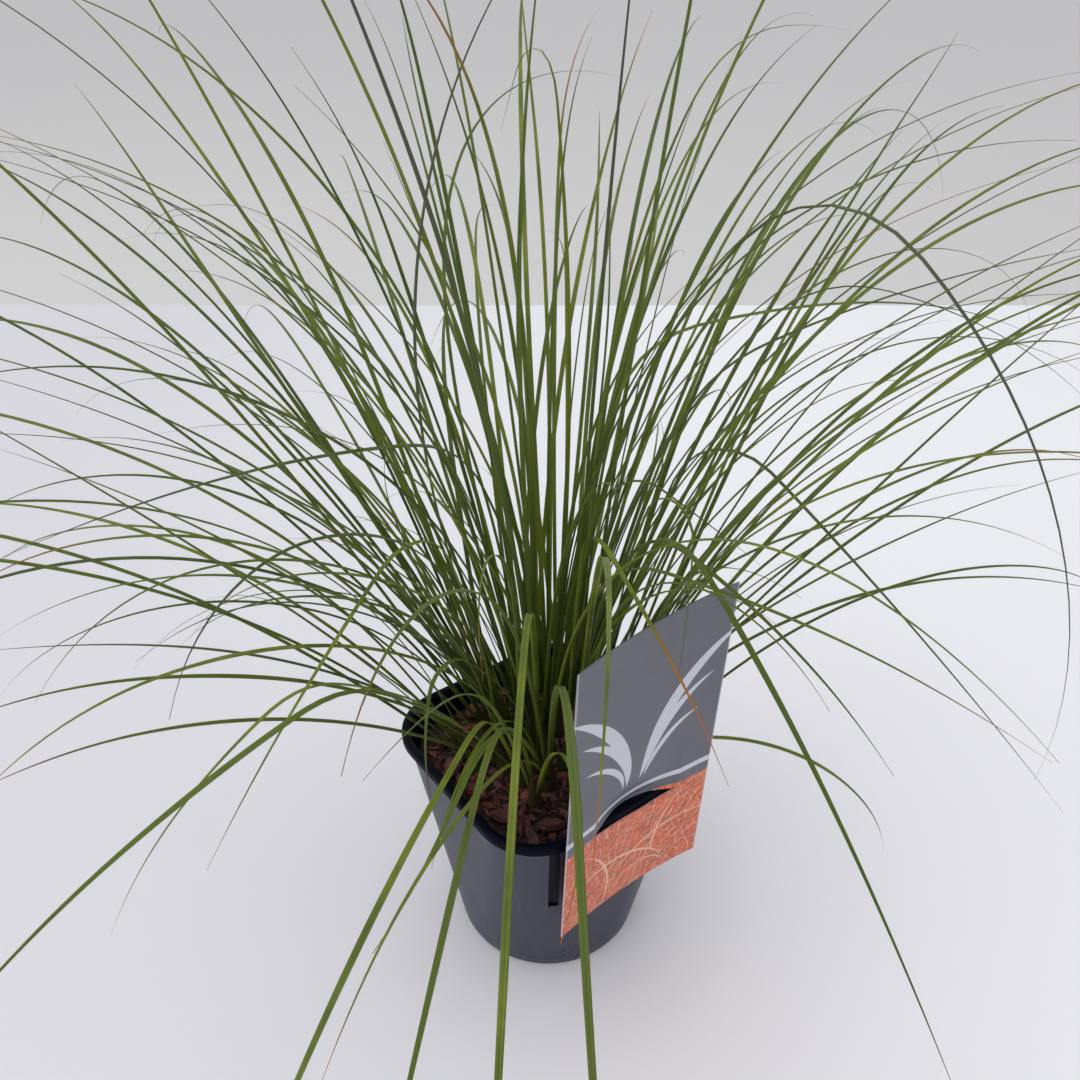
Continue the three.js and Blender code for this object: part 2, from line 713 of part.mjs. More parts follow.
// The lens-shaped opening that the rim passes through.
function makeSlitCutter() {
  const outline = new THREE.Shape();
  outline.moveTo(-slit.half, 0);
  outline.quadraticCurveTo(0, 2 * slit.above, slit.half, 0);
  outline.quadraticCurveTo(0, -2 * slit.below, -slit.half, 0);
  const lens = new THREE.ExtrudeGeometry(outline, { depth: 30, bevelEnabled: false, curveSegments: 8 });
  lens.rotateX(Math.PI / 2);
  lens.rotateZ(potTurn * degrees);
  const out = outway.clone().multiplyScalar(labelOut - 15);
  lens.translate(out.x, out.y, labelLevel);
  return solidOf(lens);
}

const finish = (color, roughness) => new THREE.MeshStandardMaterial({ color, roughness, metalness: 0 });
const potPlastic = finish(0x3c3e4c, 0.42);
const peat = finish(0x2a1a18, 0.95);
const bark = finish(0x7a3a26, 0.85);
const leaf = finish(0x5f7a2c, 0.5);
const card = finish(0x62646f, 0.4);

const sedge = new THREE.Group();
const places = tuftPlaces();
sedge.add(meshOf("pot", makePot(), potPlastic));
sedge.add(meshOf("substrate", makeSubstrate(places), peat));
for (let i = 0; i < chipCount; i++) {
  sedge.add(meshOf(`bark_chip_${String(i + 1).padStart(2, "0")}`, makeChip(i), bark));
}
sedge.add(meshOf("plant_label", makeLabel(), card));
const grown = growBlades(places);
places.forEach((place, tuft) => {
  const own = grown.filter(({ blade }) => blade.tuft === tuft);
  const solid = own.reduce((sum, each) => sum.add(makeBlade(each)), makeFoot(place));
  sedge.add(meshOf(`tuft_${String(tuft + 1).padStart(2, "0")}`, solid, leaf));
});

export default sedge;
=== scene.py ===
import json
import math

import bmesh
import bpy
import numpy as np
from mathutils import Matrix, Vector, noise

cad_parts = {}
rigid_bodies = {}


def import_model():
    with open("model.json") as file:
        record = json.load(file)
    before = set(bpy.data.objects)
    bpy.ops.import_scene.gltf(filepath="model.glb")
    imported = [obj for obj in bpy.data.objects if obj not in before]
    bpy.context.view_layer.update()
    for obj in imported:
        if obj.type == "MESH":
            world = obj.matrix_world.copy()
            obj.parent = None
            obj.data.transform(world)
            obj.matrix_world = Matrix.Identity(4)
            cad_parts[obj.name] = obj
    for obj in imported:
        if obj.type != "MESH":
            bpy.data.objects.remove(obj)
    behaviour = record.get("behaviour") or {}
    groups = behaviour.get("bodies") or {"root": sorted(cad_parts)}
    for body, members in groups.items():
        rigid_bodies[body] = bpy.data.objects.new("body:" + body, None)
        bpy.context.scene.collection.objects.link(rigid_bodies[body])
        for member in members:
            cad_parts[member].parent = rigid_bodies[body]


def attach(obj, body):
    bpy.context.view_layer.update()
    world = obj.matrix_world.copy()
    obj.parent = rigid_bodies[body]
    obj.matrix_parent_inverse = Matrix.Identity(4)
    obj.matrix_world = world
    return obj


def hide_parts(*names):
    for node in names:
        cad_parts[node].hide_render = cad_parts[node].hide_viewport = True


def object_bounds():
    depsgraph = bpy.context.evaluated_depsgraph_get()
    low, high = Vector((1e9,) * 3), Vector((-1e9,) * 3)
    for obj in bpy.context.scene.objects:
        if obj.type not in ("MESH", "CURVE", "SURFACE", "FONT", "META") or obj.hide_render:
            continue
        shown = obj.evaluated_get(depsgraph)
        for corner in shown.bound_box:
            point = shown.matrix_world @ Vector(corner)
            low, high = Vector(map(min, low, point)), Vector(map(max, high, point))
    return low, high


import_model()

# A potted orange sedge: pot, substrate, bark, tufts of blades and a plant label.
# Blender works in metres; sizes below are in millimetres times mm.
mm = 0.001
degrees = math.pi / 180
golden = 0.618034
scene = bpy.context.scene
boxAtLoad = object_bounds()

# Camera
photoCamera = {
    "place": (-3.8 * mm, -333.0 * mm, 416.0 * mm),
    "pitch": 32.04,  # degrees below level
    "lens": 33.33,
    "sensor": 36.0,
}


def addObject(name, data, material=None):
    made = bpy.data.objects.new(name, data)
    scene.collection.objects.link(made)
    if material:
        data.materials.append(material)
    return made


def makeCamera():
    data = bpy.data.cameras.new("PhotoCamera")
    data.lens = photoCamera["lens"]
    data.sensor_width = photoCamera["sensor"]
    data.clip_start = 0.01
    data.clip_end = 60
    scene.camera = addObject("PhotoCamera", data)
    scene.camera.location = photoCamera["place"]
    scene.camera.rotation_euler = ((90 - photoCamera["pitch"]) * degrees, 0, 0)


makeCamera()
print("camera set")


# A linear colour from what a colour picker shows, 0 to 255
def paint(red, green, blue):
    shares = [c / 255 for c in (red, green, blue)]
    linear = [c / 12.92 if c <= 0.04045 else ((c + 0.055) / 1.055) ** 2.4 for c in shares]
    return (*linear, 1.0)


work = {}  # "tree" is the node tree that put adds to


# A node with its sockets linked or set, and its settings
def put(kind, sockets=None, **settings):
    tree = work["tree"]
    node = tree.nodes.new(kind)
    for name, value in settings.items():
        setattr(node, name, value)
    for key, value in (sockets or {}).items():
        for each in value if isinstance(value, list) else [value]:
            if isinstance(each, bpy.types.NodeSocket):
                tree.links.new(each, node.inputs[key])
            else:
                node.inputs[key].default_value = each
    return node


def calc(operation, first, second=0.0, third=None, clamp=False):
    sockets = {0: first, 1: second} if third is None else {0: first, 1: second, 2: third}
    return put("ShaderNodeMath", sockets, operation=operation, use_clamp=clamp).outputs[0]


def times(first, second):
    return calc("MULTIPLY", first, second)


def rest(value):
    return calc("SUBTRACT", 1.0, value)


# How far value has come from low to high, 0 to 1, eased
def eased(value, low, high):
    sockets = {"Value": value, "From Min": low, "From Max": high}
    return put("ShaderNodeMapRange", sockets, interpolation_type="SMOOTHSTEP").outputs[0]


# From one colour to another; either may be what a colour picker shows
def mixed(factor, *ends):
    first, second = [paint(*end) if isinstance(end, tuple) else end for end in ends]
    return put("ShaderNodeMix", {0: factor, 6: first, 7: second}, data_type="RGBA").outputs[2]


# A colour over a tone where the mask is
def laid(tone, mask, colour, share=1.0):
    return mixed(times(mask, share), tone, colour)


def noisy(place, scale, detail=3.0):
    return put("ShaderNodeTexNoise", {"Vector": place, "Scale": scale, "Detail": detail}).outputs["Fac"]


def part(vector, axis):
    return put("ShaderNodeSeparateXYZ", {0: vector}).outputs[axis]


def objectPlace():
    return put("ShaderNodeTexCoord").outputs["Object"]


def stretched(place, scale=(1, 1, 1), turn=0):
    return put("ShaderNodeMapping", {"Vector": place, "Scale": scale, "Rotation": (0, 0, turn)}).outputs[0]


def attribute(name):
    return put("ShaderNodeAttribute", attribute_name=name).outputs["Fac"]


def newMaterial(name):
    made = bpy.data.materials.new(name)
    made.use_nodes = True
    made.node_tree.nodes.clear()
    work["tree"] = made.node_tree
    return made


# Ends a material's tree; relief is its height, depth and strength
def dressed(material, tone, rough, relief=None, specular=0.5):
    sockets = {"Base Color": tone, "Roughness": rough, "Specular IOR Level": specular}
    if relief:
        bump = put("ShaderNodeBump", dict(zip(("Height", "Distance", "Strength"), relief)))
        sockets["Normal"] = bump.outputs[0]
    shader = put("ShaderNodeBsdfPrincipled", sockets)
    put("ShaderNodeOutputMaterial", {"Surface": shader.outputs[0]})
    return material


def addMesh(name, points, faces, material=None, edges=(), smooth=True):
    mesh = bpy.data.meshes.new(name)
    mesh.from_pydata([tuple(map(float, p)) for p in points], list(edges), list(faces))
    mesh.polygons.foreach_set("use_smooth", [smooth] * len(mesh.polygons))
    mesh.update()
    return addObject(name, mesh, material)


def markPoints(piece, name, values):
    marks = piece.data.attributes.new(name, "FLOAT", "POINT").data
    marks.foreach_set("value", np.array(values, np.float32))


def smoothen(piece, sharpFrom=None):
    piece.data.polygons.foreach_set("use_smooth", [True] * len(piece.data.polygons))
    if sharpFrom:
        piece.data.set_sharp_from_angle(angle=sharpFrom * degrees)


# A plain mesh from what an object's modifiers give; the object itself goes
def frozen(source, name):
    graph = bpy.context.evaluated_depsgraph_get()
    graph.update()
    evaluated = source.evaluated_get(graph)
    mesh = bpy.data.meshes.new_from_object(evaluated, preserve_all_data_layers=True, depsgraph=graph)
    mesh.name = name
    bpy.data.objects.remove(source)
    return addObject(name, mesh)


# A piece without what the tools take away, in one material
def cutOut(piece, tools, material, sharpFrom):
    for tool in tools:
        cut = piece.modifiers.new(tool.name, "BOOLEAN")
        cut.operation = "DIFFERENCE"
        cut.solver = "EXACT"
        cut.object = tool
    piece = frozen(piece, piece.name)
    for tool in tools:
        bpy.data.objects.remove(tool)
    piece.data.materials.clear()
    piece.data.materials.append(material)
    smoothen(piece, sharpFrom)
    return piece


def rides(piece, slot, *nodes):
    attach(piece, "root")
    if nodes:
        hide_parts(*nodes)


seeds = {"ruled": 100, "chips": 300, "litter": 700, "grown": 1000, "blades": 2000, "wisps": 4000}


# The same draws every time, from one whole number
def diceFrom(seed):
    state = (seed + 1) * 2654435761 % 2**32

    def draw(low, high):
        nonlocal state
        state = (state * 1664525 + 1013904223) % 2**32
        return low + (high - low) * (state / 2**32)

    draw(0, 1)
    draw(0, 1)
    return draw


# Floor and light
room = {
    "floorTone": (239, 238, 242), "paintedFloorShade": (212, 210, 215), "farTone": (206, 204, 202),
    "clouds": (190, 192, 205), "cloudShare": 0.05,
    "blend": (-0.5, 0.3),  # metres aside, from the painted shade on the left to the lit floor tone
    "farFrom": (0.884, 0.89),  # metres behind the pot, where the tone changes
    "floorSize": 30.0,
    "aim": (0, 0, 0.15),  # what the lamps face
    "worldTone": (247, 248, 252),
    "worldStrength": 0.84,
}
lamps = [
    {"name": "CeilingSoft", "place": (-0.5, 0.2, 2.3), "size": 2.2, "power": 15.0},
    {"name": "WindowSoft", "place": (-1.7, -1.0, 1.3), "size": 1.4, "power": 7.0},
]


def makeRoom():
    world = bpy.data.worlds.new("SoftRoom")
    world.use_nodes = True
    background = world.node_tree.nodes["Background"]
    background.inputs["Color"].default_value = paint(*room["worldTone"])
    background.inputs["Strength"].default_value = room["worldStrength"]
    scene.world = world
    scene.view_settings.view_transform = "Standard"
    material = newMaterial("PaleFloor")
    place = objectPlace()
    far = eased(part(place, "Y"), *room["farFrom"])
    # painted shade: the floor is painted darker towards the left
    near = mixed(eased(part(place, "X"), *room["blend"]), room["paintedFloorShade"], room["floorTone"])
    tone = laid(mixed(far, near, room["farTone"]), noisy(place, 9.0), room["clouds"], room["cloudShare"])
    dressed(material, tone, 0.55)
    half = room["floorSize"] / 2
    corners = [(-half, -half, 0), (half, -half, 0), (half, half, 0), (-half, half, 0)]
    floor = addMesh("Floor", corners, [(0, 1, 2, 3)], material)
    for lamp in lamps:
        data = bpy.data.lights.new(lamp["name"], "AREA")
        data.energy, data.size = lamp["power"], lamp["size"]
        light = addObject(lamp["name"], data)
        light.location = lamp["place"]
        towards = Vector(room["aim"]) - light.location
        light.rotation_euler = towards.to_track_quat("-Z", "Y").to_euler()


makeRoom()
print("room lit")

# Pot
pot = {
    "side": 110 * mm, "corner": 27 * mm, "height": 106 * mm, "turn": 37 * degrees,
    "base": 42 * mm, "wall": 1.6 * mm,
    "lipWidth": 4 * mm, "lipDepth": 4 * mm, "lipOverhang": 2.2 * mm,
    "footRing": 5 * mm, "footRise": 3 * mm, "pad": 13 * mm, "floor": 2 * mm,
    "drains": 8, "drainRadius": 3.6 * mm,
    "slotWidth": 4.5 * mm, "slotLength": 44 * mm, "slotDepth": 1.15 * mm,
    "slotHeading": -88 * degrees, "slotMiddle": 78 * mm, "slotLean": 1.9,
    "slotTool": 6 * mm, "cornerSteps": 14, "sharpFrom": 38,
}


# A square with rounded corners, turned as the pot is, at one height
def roundedSquare(half, radius, z):
    steps = pot["cornerSteps"]
    reach = (half - radius) * math.sqrt(2)
    ring = []
    for corner in range(4):
        diagonal = corner * math.pi / 2 + math.pi / 4 + pot["turn"]
        for step in range(steps + 1):
            angle = (corner + step / steps) * math.pi / 2 + pot["turn"]
            x = reach * math.cos(diagonal) + radius * math.cos(angle)
            y = reach * math.sin(diagonal) + radius * math.sin(angle)
            ring.append((x, y, z))
    return ring


# The wall's outline: a rounded square under the lip that runs into a circle at the base
def wallRing(z, inset):
    t = min(max(z / pot["height"], 0), 1)
    half = pot["base"] + (pot["side"] / 2 - pot["lipOverhang"] - pot["base"]) * t - inset
    atBase = pot["base"] - 0.5 * mm
    radius = atBase + (pot["corner"] - pot["lipOverhang"] - pot["base"]) * t - inset
    return roundedSquare(half, radius, z)


# A ring of the same count of points on a circle
def circleRing(radius, z):
    ring = wallRing(0, 0)
    return [(x * radius / math.hypot(x, y), y * radius / math.hypot(x, y), z) for x, y, _ in ring]


# A closed skin over rings, from the middle of the first to the middle of the last
def skinOver(rings):
    around, last = len(rings[0]), len(rings) - 1
    points = [p for ring in rings for p in ring]
    steps = [(i, (i + 1) % around) for i in range(around)]
    faces = []
    for at in range(0, last * around, around):
        faces += [(at + a, at + b, at + around + b, at + around + a) for a, b in steps]
    for level, turn in ((0, -1), (last, 1)):
        at = level * around
        points.append(tuple(np.mean(rings[level], axis=0)))
        faces += [(at + a, at + b, len(points) - 1)[::turn] for a, b in steps]
    return points, faces


def makePot(material):
    half, corner, height = pot["side"] / 2, pot["corner"], pot["height"]
    lip, wall, pad, rise = pot["lipWidth"], pot["wall"], pot["pad"], pot["footRise"]
    underLip, inside = height - pot["lipDepth"], rise + pot["floor"]
    channel = pot["base"] - pot["footRing"]

    def lipRing(back, z):
        return roundedSquare(half - back, corner - back, z)

    under = [(pad * 0.5, 0), (pad, 0), (pad + 0.7 * mm, rise * 0.7), (pad + 1.3 * mm, rise)]
    under += [(channel - 1.2 * mm, rise), (channel - 0.4 * mm, rise * 0.7)]
    under += [(channel + 0.2 * mm, 0.4 * mm), (channel + 0.8 * mm, 0)]
    rings = [circleRing(radius, z) for radius, z in under]
    rings += [wallRing(0, 1.4 * mm), wallRing(0.35 * mm, 0.5 * mm), wallRing(1.2 * mm, 0)]
    rings += [wallRing(z * mm, 0) for z in range(6, 97, 9)]
    rings += [wallRing(underLip - 1.6 * mm, 0), wallRing(underLip - 0.9 * mm, -0.4 * mm)]
    rings += [lipRing(0.5 * mm, underLip - 0.3 * mm), lipRing(0, underLip + 0.3 * mm)]
    for turn in (0, 25, 50, 75):
        back, up = 1 - math.cos(turn * degrees), 1 - math.sin(turn * degrees)
        rings.append(lipRing(1.3 * mm * back, height - 1.3 * mm * up))
    firstInner = len(rings) + 1
    rings += [lipRing(1.6 * mm, height), lipRing(lip - 0.9 * mm, height - 0.1 * mm)]
    rings += [lipRing(lip - 0.2 * mm, height - 0.7 * mm), lipRing(lip, height - 1.8 * mm)]
    rings += [wallRing(underLip - 1 * mm, wall)]
    rings += [wallRing(z * mm, wall) for z in range(95, 8, -12)]
    rings += [wallRing(inside + 0.8 * mm, wall + 0.6 * mm), wallRing(inside, wall + 1.6 * mm)]
    rings += [circleRing(pad, inside)]
    points, faces = skinOver(rings)
    body = addMesh("Pot", points, faces)
    markPoints(body, "inner", [i // len(rings[0]) >= firstInner for i in range(len(points))])
    cutters = [makeDrainTool((channel + pad) / 2), makeSlotTool()]
    rides(cutOut(body, cutters, material, pot["sharpFrom"]), "pot_plastic", "pot")


# Upright rods where the drainage holes are
def makeDrainTool(reach):
    rods = bmesh.new()
    for i in range(pot["drains"]):
        angle = (i + 0.5) / pot["drains"] * 2 * math.pi
        made = bmesh.ops.create_cone(
            rods, cap_ends=True, segments=28, depth=12 * mm,
            radius1=pot["drainRadius"], radius2=pot["drainRadius"],
        )
        move = Vector((reach * math.cos(angle), reach * math.sin(angle), 4 * mm))
        bmesh.ops.translate(rods, vec=move, verts=made["verts"])
    mesh = bpy.data.meshes.new("Drains")
    rods.to_mesh(mesh)
    rods.free()
    return addObject("Drains", mesh)


# The narrow upright recess near the front corner
def makeSlotTool():
    heading = pot["slotHeading"]
    taper = math.atan2(pot["side"] / 2 - pot["lipOverhang"] - pot["base"], pot["height"])
    ring = wallRing(pot["slotMiddle"], 0)
    out = max(x * math.cos(heading) + y * math.sin(heading) for x, y, _ in ring)
    depth = pot["slotTool"]
    faces = [(0, 2, 3, 1), (4, 5, 7, 6), (0, 1, 5, 4), (2, 6, 7, 3), (0, 4, 6, 2), (1, 3, 7, 5)]
    corners = np.array([(x, y, z) for z in (-1, 1) for y in (-1, 1) for x in (-1, 1)])
    ahead, y, up = (corners * (depth, pot["slotWidth"], pot["slotLength"]) / 2).T
    lean = taper * pot["slotLean"]
    x = ahead * math.cos(lean) + up * math.sin(lean) + out + depth / 2 - pot["slotDepth"]
    z = -ahead * math.sin(lean) + up * math.cos(lean) + pot["slotMiddle"]
    c, s = math.cos(heading), math.sin(heading)
    turned = np.stack([x * c - y * s, x * s + y * c, z], 1)
    return addMesh("SlotTool", turned, faces, smooth=False)


# 1 on the recess's floor, where painted shade goes, 0 elsewhere
def slotMask(place):
    turned = stretched(place, turn=-pot["slotHeading"])
    inside = calc("GREATER_THAN", part(turned, "X"), 0.0)
    up = calc("SUBTRACT", part(turned, "Z"), pot["slotMiddle"])
    for value, half in ((part(turned, "Y"), pot["slotWidth"] / 2), (up, pot["slotLength"] / 2)):
        inside = times(inside, calc("LESS_THAN", calc("ABSOLUTE", value), half))
    return inside


def potMaterial():
    material = newMaterial("SlatePlastic")
    place = objectPlace()
    height = part(place, "Z")
    cloud = noisy(place, 28.0, 4.0)
    # painted shade: the rim, the inner wall and the recess floor are painted near black, with less specular
    rim = eased(height, 100.5 * mm, 102.5 * mm)
    inner = eased(attribute("inner"), 0.4, 0.9)
    paintedShade = calc("MAXIMUM", calc("MAXIMUM", rim, inner), slotMask(place))
    scuffs = eased(noisy(stretched(place, (1, 1, 0.12)), 190.0, 5.0), 0.56, 0.74)
    specks = put("ShaderNodeTexVoronoi", {"Vector": place, "Scale": 420.0, "Randomness": 1.0})
    near = rest(eased(specks.outputs["Distance"], 0.16, 0.34))
    patch = eased(noisy(place, 60.0, 4.0), 0.52, 0.68)
    dirt = times(times(near, patch), rest(eased(height, 4 * mm, 34 * mm)))
    tone = laid(mixed(cloud, (40, 41, 58), (59, 61, 77)), scuffs, (112, 114, 126), 0.16)
    tone = laid(laid(tone, dirt, (30, 22, 20)), paintedShade, (8, 8, 24))
    rough = calc("MULTIPLY_ADD", dirt, 0.4, calc("MULTIPLY_ADD", cloud, 0.16, 0.30))
    relief = calc("MULTIPLY_ADD", dirt, 3.0, noisy(place, 900.0, 2.0))
    return dressed(material, tone, rough, (relief, 0.05 * mm, 0.6), calc("MULTIPLY_ADD", paintedShade, -0.27, 0.32))


makePot(potMaterial())
print("pot made")

# Substrate, bark chips and litter
soil = {"top": 95 * mm, "gap": 0.3 * mm, "rough": 1.7 * mm, "edgeDrop": 1.6 * mm, "rings": 30}
chips = {
    "count": 14, "sides": 7, "around": 26, "levels": 7,
    "reach": 40.5, "corner": 5, "long": (12.5, 15.5), "broad": (6.5, 9.5), "high": (2.4, 4.2),
    "stray": 3, "skew": 22, "ragged": 0.2, "uneven": (0.86, 1.06), "sharpFrom": 24,
}


def soilHeight(x, y):
    coarse = noise.noise(Vector((x, y, 0.3)) * 70)
    fine = noise.noise(Vector((x, y, 0.9)) * 260)
    return soil["top"] + soil["rough"] * (0.75 * coarse + 0.4 * fine) - 0.6 * soil["rough"]


def makeSubstrate(material):
    wall, gap, top = pot["wall"], soil["gap"], soil["top"]
    floorTop = pot["footRise"] + pot["floor"]
    edge = wallRing(top, wall + gap + 0.8 * mm)
    rings = [circleRing(10 * mm, floorTop + gap), wallRing(floorTop + gap, wall + 1.9 * mm + gap)]
    rings += [wallRing(z, wall + gap) for z in (floorTop + 3 * mm, 30 * mm, 60 * mm, top - 3 * mm)]
    for i in range(soil["rings"]):
        share = 1 - i / soil["rings"]
        down = soil["edgeDrop"] * share**14
        spots = [(x * share, y * share) for x, y, _ in edge]
        rings.append([(x, y, soilHeight(x, y) - down) for x, y in spots])
    piece = addMesh("Substrate", *skinOver(rings), material)
    rides(piece, "peat", "substrate")
    return piece


def peatMaterial():
    material = newMaterial("DarkPeat")
    place = objectPlace()
    clods, fine = noisy(place, 130.0, 6.0), noisy(place, 700.0)
    tone = laid(mixed(clods, (18, 10, 14), (52, 30, 28)), eased(fine, 0.6, 0.7), (96, 62, 48), 0.6)
    return dressed(material, tone, 0.95, (calc("ADD", clods, fine), 0.9 * mm))


def barkMaterial():
    material = newMaterial("ReddishBark")
    place = objectPlace()
    shade = attribute("shade")
    broad = noisy(place, 90.0, 4.0)
    grain = put("ShaderNodeCombineXYZ", {0: attribute("grain"), 1: shade, 2: broad}).outputs[0]
    layers = noisy(stretched(grain, (1, 40, 2)), 5.0, 5.0)
    tone = laid(mixed(shade, (66, 26, 22), (132, 60, 38)), eased(broad, 0.35, 0.7), (50, 20, 22))
    tone = laid(tone, eased(layers, 0.55, 0.78), (168, 96, 62), 0.7)
    tone = laid(tone, eased(noisy(place, 420.0, 4.0), 0.55, 0.7), (30, 12, 16), 0.7)
    return dressed(material, tone, 0.62, (calc("ADD", layers, noisy(place, 500.0, 4.0)), 0.5 * mm, 0.8))


# One bark chip: an outline drawn up in levels, worn at its edge and crested along its grain
def chipRings(outline, high, seed):
    around, levels, length = chips["around"], chips["levels"], len(outline)
    rings = []
    for level in range(levels):
        share = level / (levels - 1)
        swell = 0.84 + 0.2 * math.sin(math.pi * min(share * 1.15, 1)) - 0.12 * share
        ring = []
        for i in range(around):
            spot = i / around * length
            first, along = int(spot), spot % 1
            a, b = outline[first % length], outline[(first + 1) % length]
            x, y = a[0] + (b[0] - a[0]) * along, a[1] + (b[1] - a[1]) * along
            wear = 1 + 0.13 * noise.noise(Vector((x * 700, y * 700, share * 3 + seed)))
            x, y = x * swell * wear, y * swell * wear
            crest = 0.5 * mm * noise.noise(Vector((x * 90, y * 520, seed))) * (level / levels)
            ring.append((x, y, share * high + crest))
        rings.append(ring)
    return rings


def makeChips(material):
    turn = pot["turn"] / degrees
    points, faces, shades = [], [], []
    for number in range(chips["count"]):
        draw = diceFrom(seeds["chips"] + number)
        angle = (number + 0.5) / chips["count"] * 360 + draw(-chips["stray"], chips["stray"])
        reach = (chips["reach"] + chips["corner"] * abs(math.sin(2 * (angle - turn) * degrees))) * mm
        long, broad = draw(*chips["long"]) / 2 * mm, draw(*chips["broad"]) / 2 * mm
        high = draw(*chips["high"]) * mm
        facing = (angle + 90 + draw(-chips["skew"], chips["skew"])) * degrees
        outline = []
        for i in range(chips["sides"]):
            a = i / chips["sides"] * 2 * math.pi + draw(-chips["ragged"], chips["ragged"])
            size = draw(*chips["uneven"])
            outline.append((long * math.cos(a) * size, broad * math.sin(a) * size))
        c, s = math.cos(facing), math.sin(facing)
        px, py = reach * math.cos(angle * degrees), reach * math.sin(angle * degrees)
        pz = soil["top"] + soil["gap"]
        rings = []
        for ring in chipRings(outline, high, number):
            rings.append([(x * c - y * s + px, x * s + y * c + py, z + pz) for x, y, z in ring])
        ringPoints, ringFaces = skinOver(rings)
        faces += [tuple(len(points) + i for i in face) for face in ringFaces]
        points += ringPoints
        shades += [draw(0, 1)] * len(ringPoints)
    piece = addMesh("BarkChips", points, faces, material)
    markPoints(piece, "shade", shades)
    markPoints(piece, "grain", [p[0] * 160 + p[1] * 90 for p in points])
    smoothen(piece, chips["sharpFrom"])
    rides(piece, "bark", *[f"bark_chip_{i + 1:02d}" for i in range(chips["count"])])


# A few splinter shapes that the litter repeats
def litterShape(name, seed, long, broad, thick):
    draw = diceFrom(seed)
    rings = []
    for scale, z in ((0.9, 0), (1, 0.4), (0.84, 1)):
        ring = []
        for i in range(litter["sides"]):
            a = i / litter["sides"] * 2 * math.pi
            size = scale * draw(*litter["uneven"])
            x, y = long / 2 * math.cos(a) * size, broad / 2 * math.sin(a) * size
            ring.append((x, y, thick * (z + draw(-litter["rough"], litter["rough"]))))
        rings.append(ring)
    return addMesh(name, *skinOver(rings), smooth=False)


# Starts a group with its inputs named, by kind of socket; gives their sockets
def newTree(name, inputs):
    tree = bpy.data.node_groups.new(name, "GeometryNodeTree")
    for kind, labels in inputs.items():
        for label in labels:
            tree.interface.new_socket(label, in_out="INPUT", socket_type="NodeSocket" + kind)
    tree.interface.new_socket("Geometry", in_out="OUTPUT", socket_type="NodeSocketGeometry")
    work["tree"] = tree
    return put("NodeGroupInput").outputs


def stored(geometry, name, value, kind="FLOAT", domain="POINT"):
    sockets = {"Geometry": geometry, "Name": name, "Value": value}
    return put("GeometryNodeStoreNamedAttribute", sockets, data_type=kind, domain=domain).outputs[0]


def endTree(geometry, material):
    real = put("GeometryNodeRealizeInstances", {0: geometry}).outputs[0]
    finished = put("GeometryNodeSetMaterial", {"Geometry": real, "Material": material})
    put("NodeGroupOutput", {0: finished.outputs[0]})
    return work["tree"]


def useTree(piece, tree, values):
    modifier = piece.modifiers.new(tree.name, "NODES")
    modifier.node_group = tree
    known = {item.name: item.identifier for item in tree.interface.items_tree if item.in_out == "INPUT"}
    for name, value in values.items():
        modifier[known[name]] = value


# Scatters the shapes of a collection over the flat top of the substrate
def scatterTree(name, material):
    given = newTree(name, {
        "Geometry": ["Geometry"], "Collection": ["Shapes"],
        "Float": ["Spacing", "Density", "Smallest", "Largest", "Level"], "Int": ["Seed"],
    })

    def random(kind, sockets):
        return put("FunctionNodeRandomValue", sockets, data_type=kind).outputs

    flat = calc("GREATER_THAN", part(put("GeometryNodeInputNormal").outputs[0], "Z"), 0.4)
    height = part(put("GeometryNodeInputPosition").outputs[0], "Z")
    points = put("GeometryNodeDistributePointsOnFaces", {
        "Mesh": given["Geometry"], "Selection": times(flat, calc("GREATER_THAN", height, given["Level"])),
        "Distance Min": given["Spacing"], "Density Max": given["Density"], "Seed": given["Seed"],
    }, distribute_method="POISSON")
    sockets = {"Collection": given["Shapes"], "Separate Children": True, "Reset Children": True}
    shapes = put("GeometryNodeCollectionInfo", sockets)
    spin = random("FLOAT_VECTOR", {0: (-0.5, -0.5, 0), 1: (0.5, 0.5, 6.283), 8: given["Seed"]})[0]
    repeated = put("GeometryNodeInstanceOnPoints", {
        "Points": points.outputs["Points"], "Instance": shapes.outputs[0], "Pick Instance": True,
        "Rotation": put("FunctionNodeEulerToRotation", {0: spin}).outputs[0],
        "Scale": random("FLOAT", {2: given["Smallest"], 3: given["Largest"], 8: given["Seed"]})[1],
    })
    shade = random("FLOAT", {8: 5})[1]
    return endTree(stored(repeated.outputs[0], "shade", shade, domain="INSTANCE"), material)


litter = {"within": 0.9, "density": 300000.0, "depth": 6 * mm, "sides": 7, "uneven": (0.7, 1.2), "rough": 0.1}
litterKinds = [
    {"name": "BarkLitter", "material": "bark", "spacing": 3.7 * mm, "low": 0.5, "high": 1.2, "seed": 11,
     "shapes": [(13, 5.2, 1.2), (9, 3.6, 1.1), (15, 3.4, 1.0), (8, 5.4, 1.3), (11, 2.0, 0.9)]},
    {"name": "PeatCrumbs", "material": "peat", "spacing": 1.7 * mm, "low": 0.5, "high": 1.4, "seed": 23,
     "shapes": [(2.2, 1.7, 1.3), (1.6, 1.4, 1.1), (3.0, 1.2, 0.9), (1.9, 1.9, 1.2)]},
]


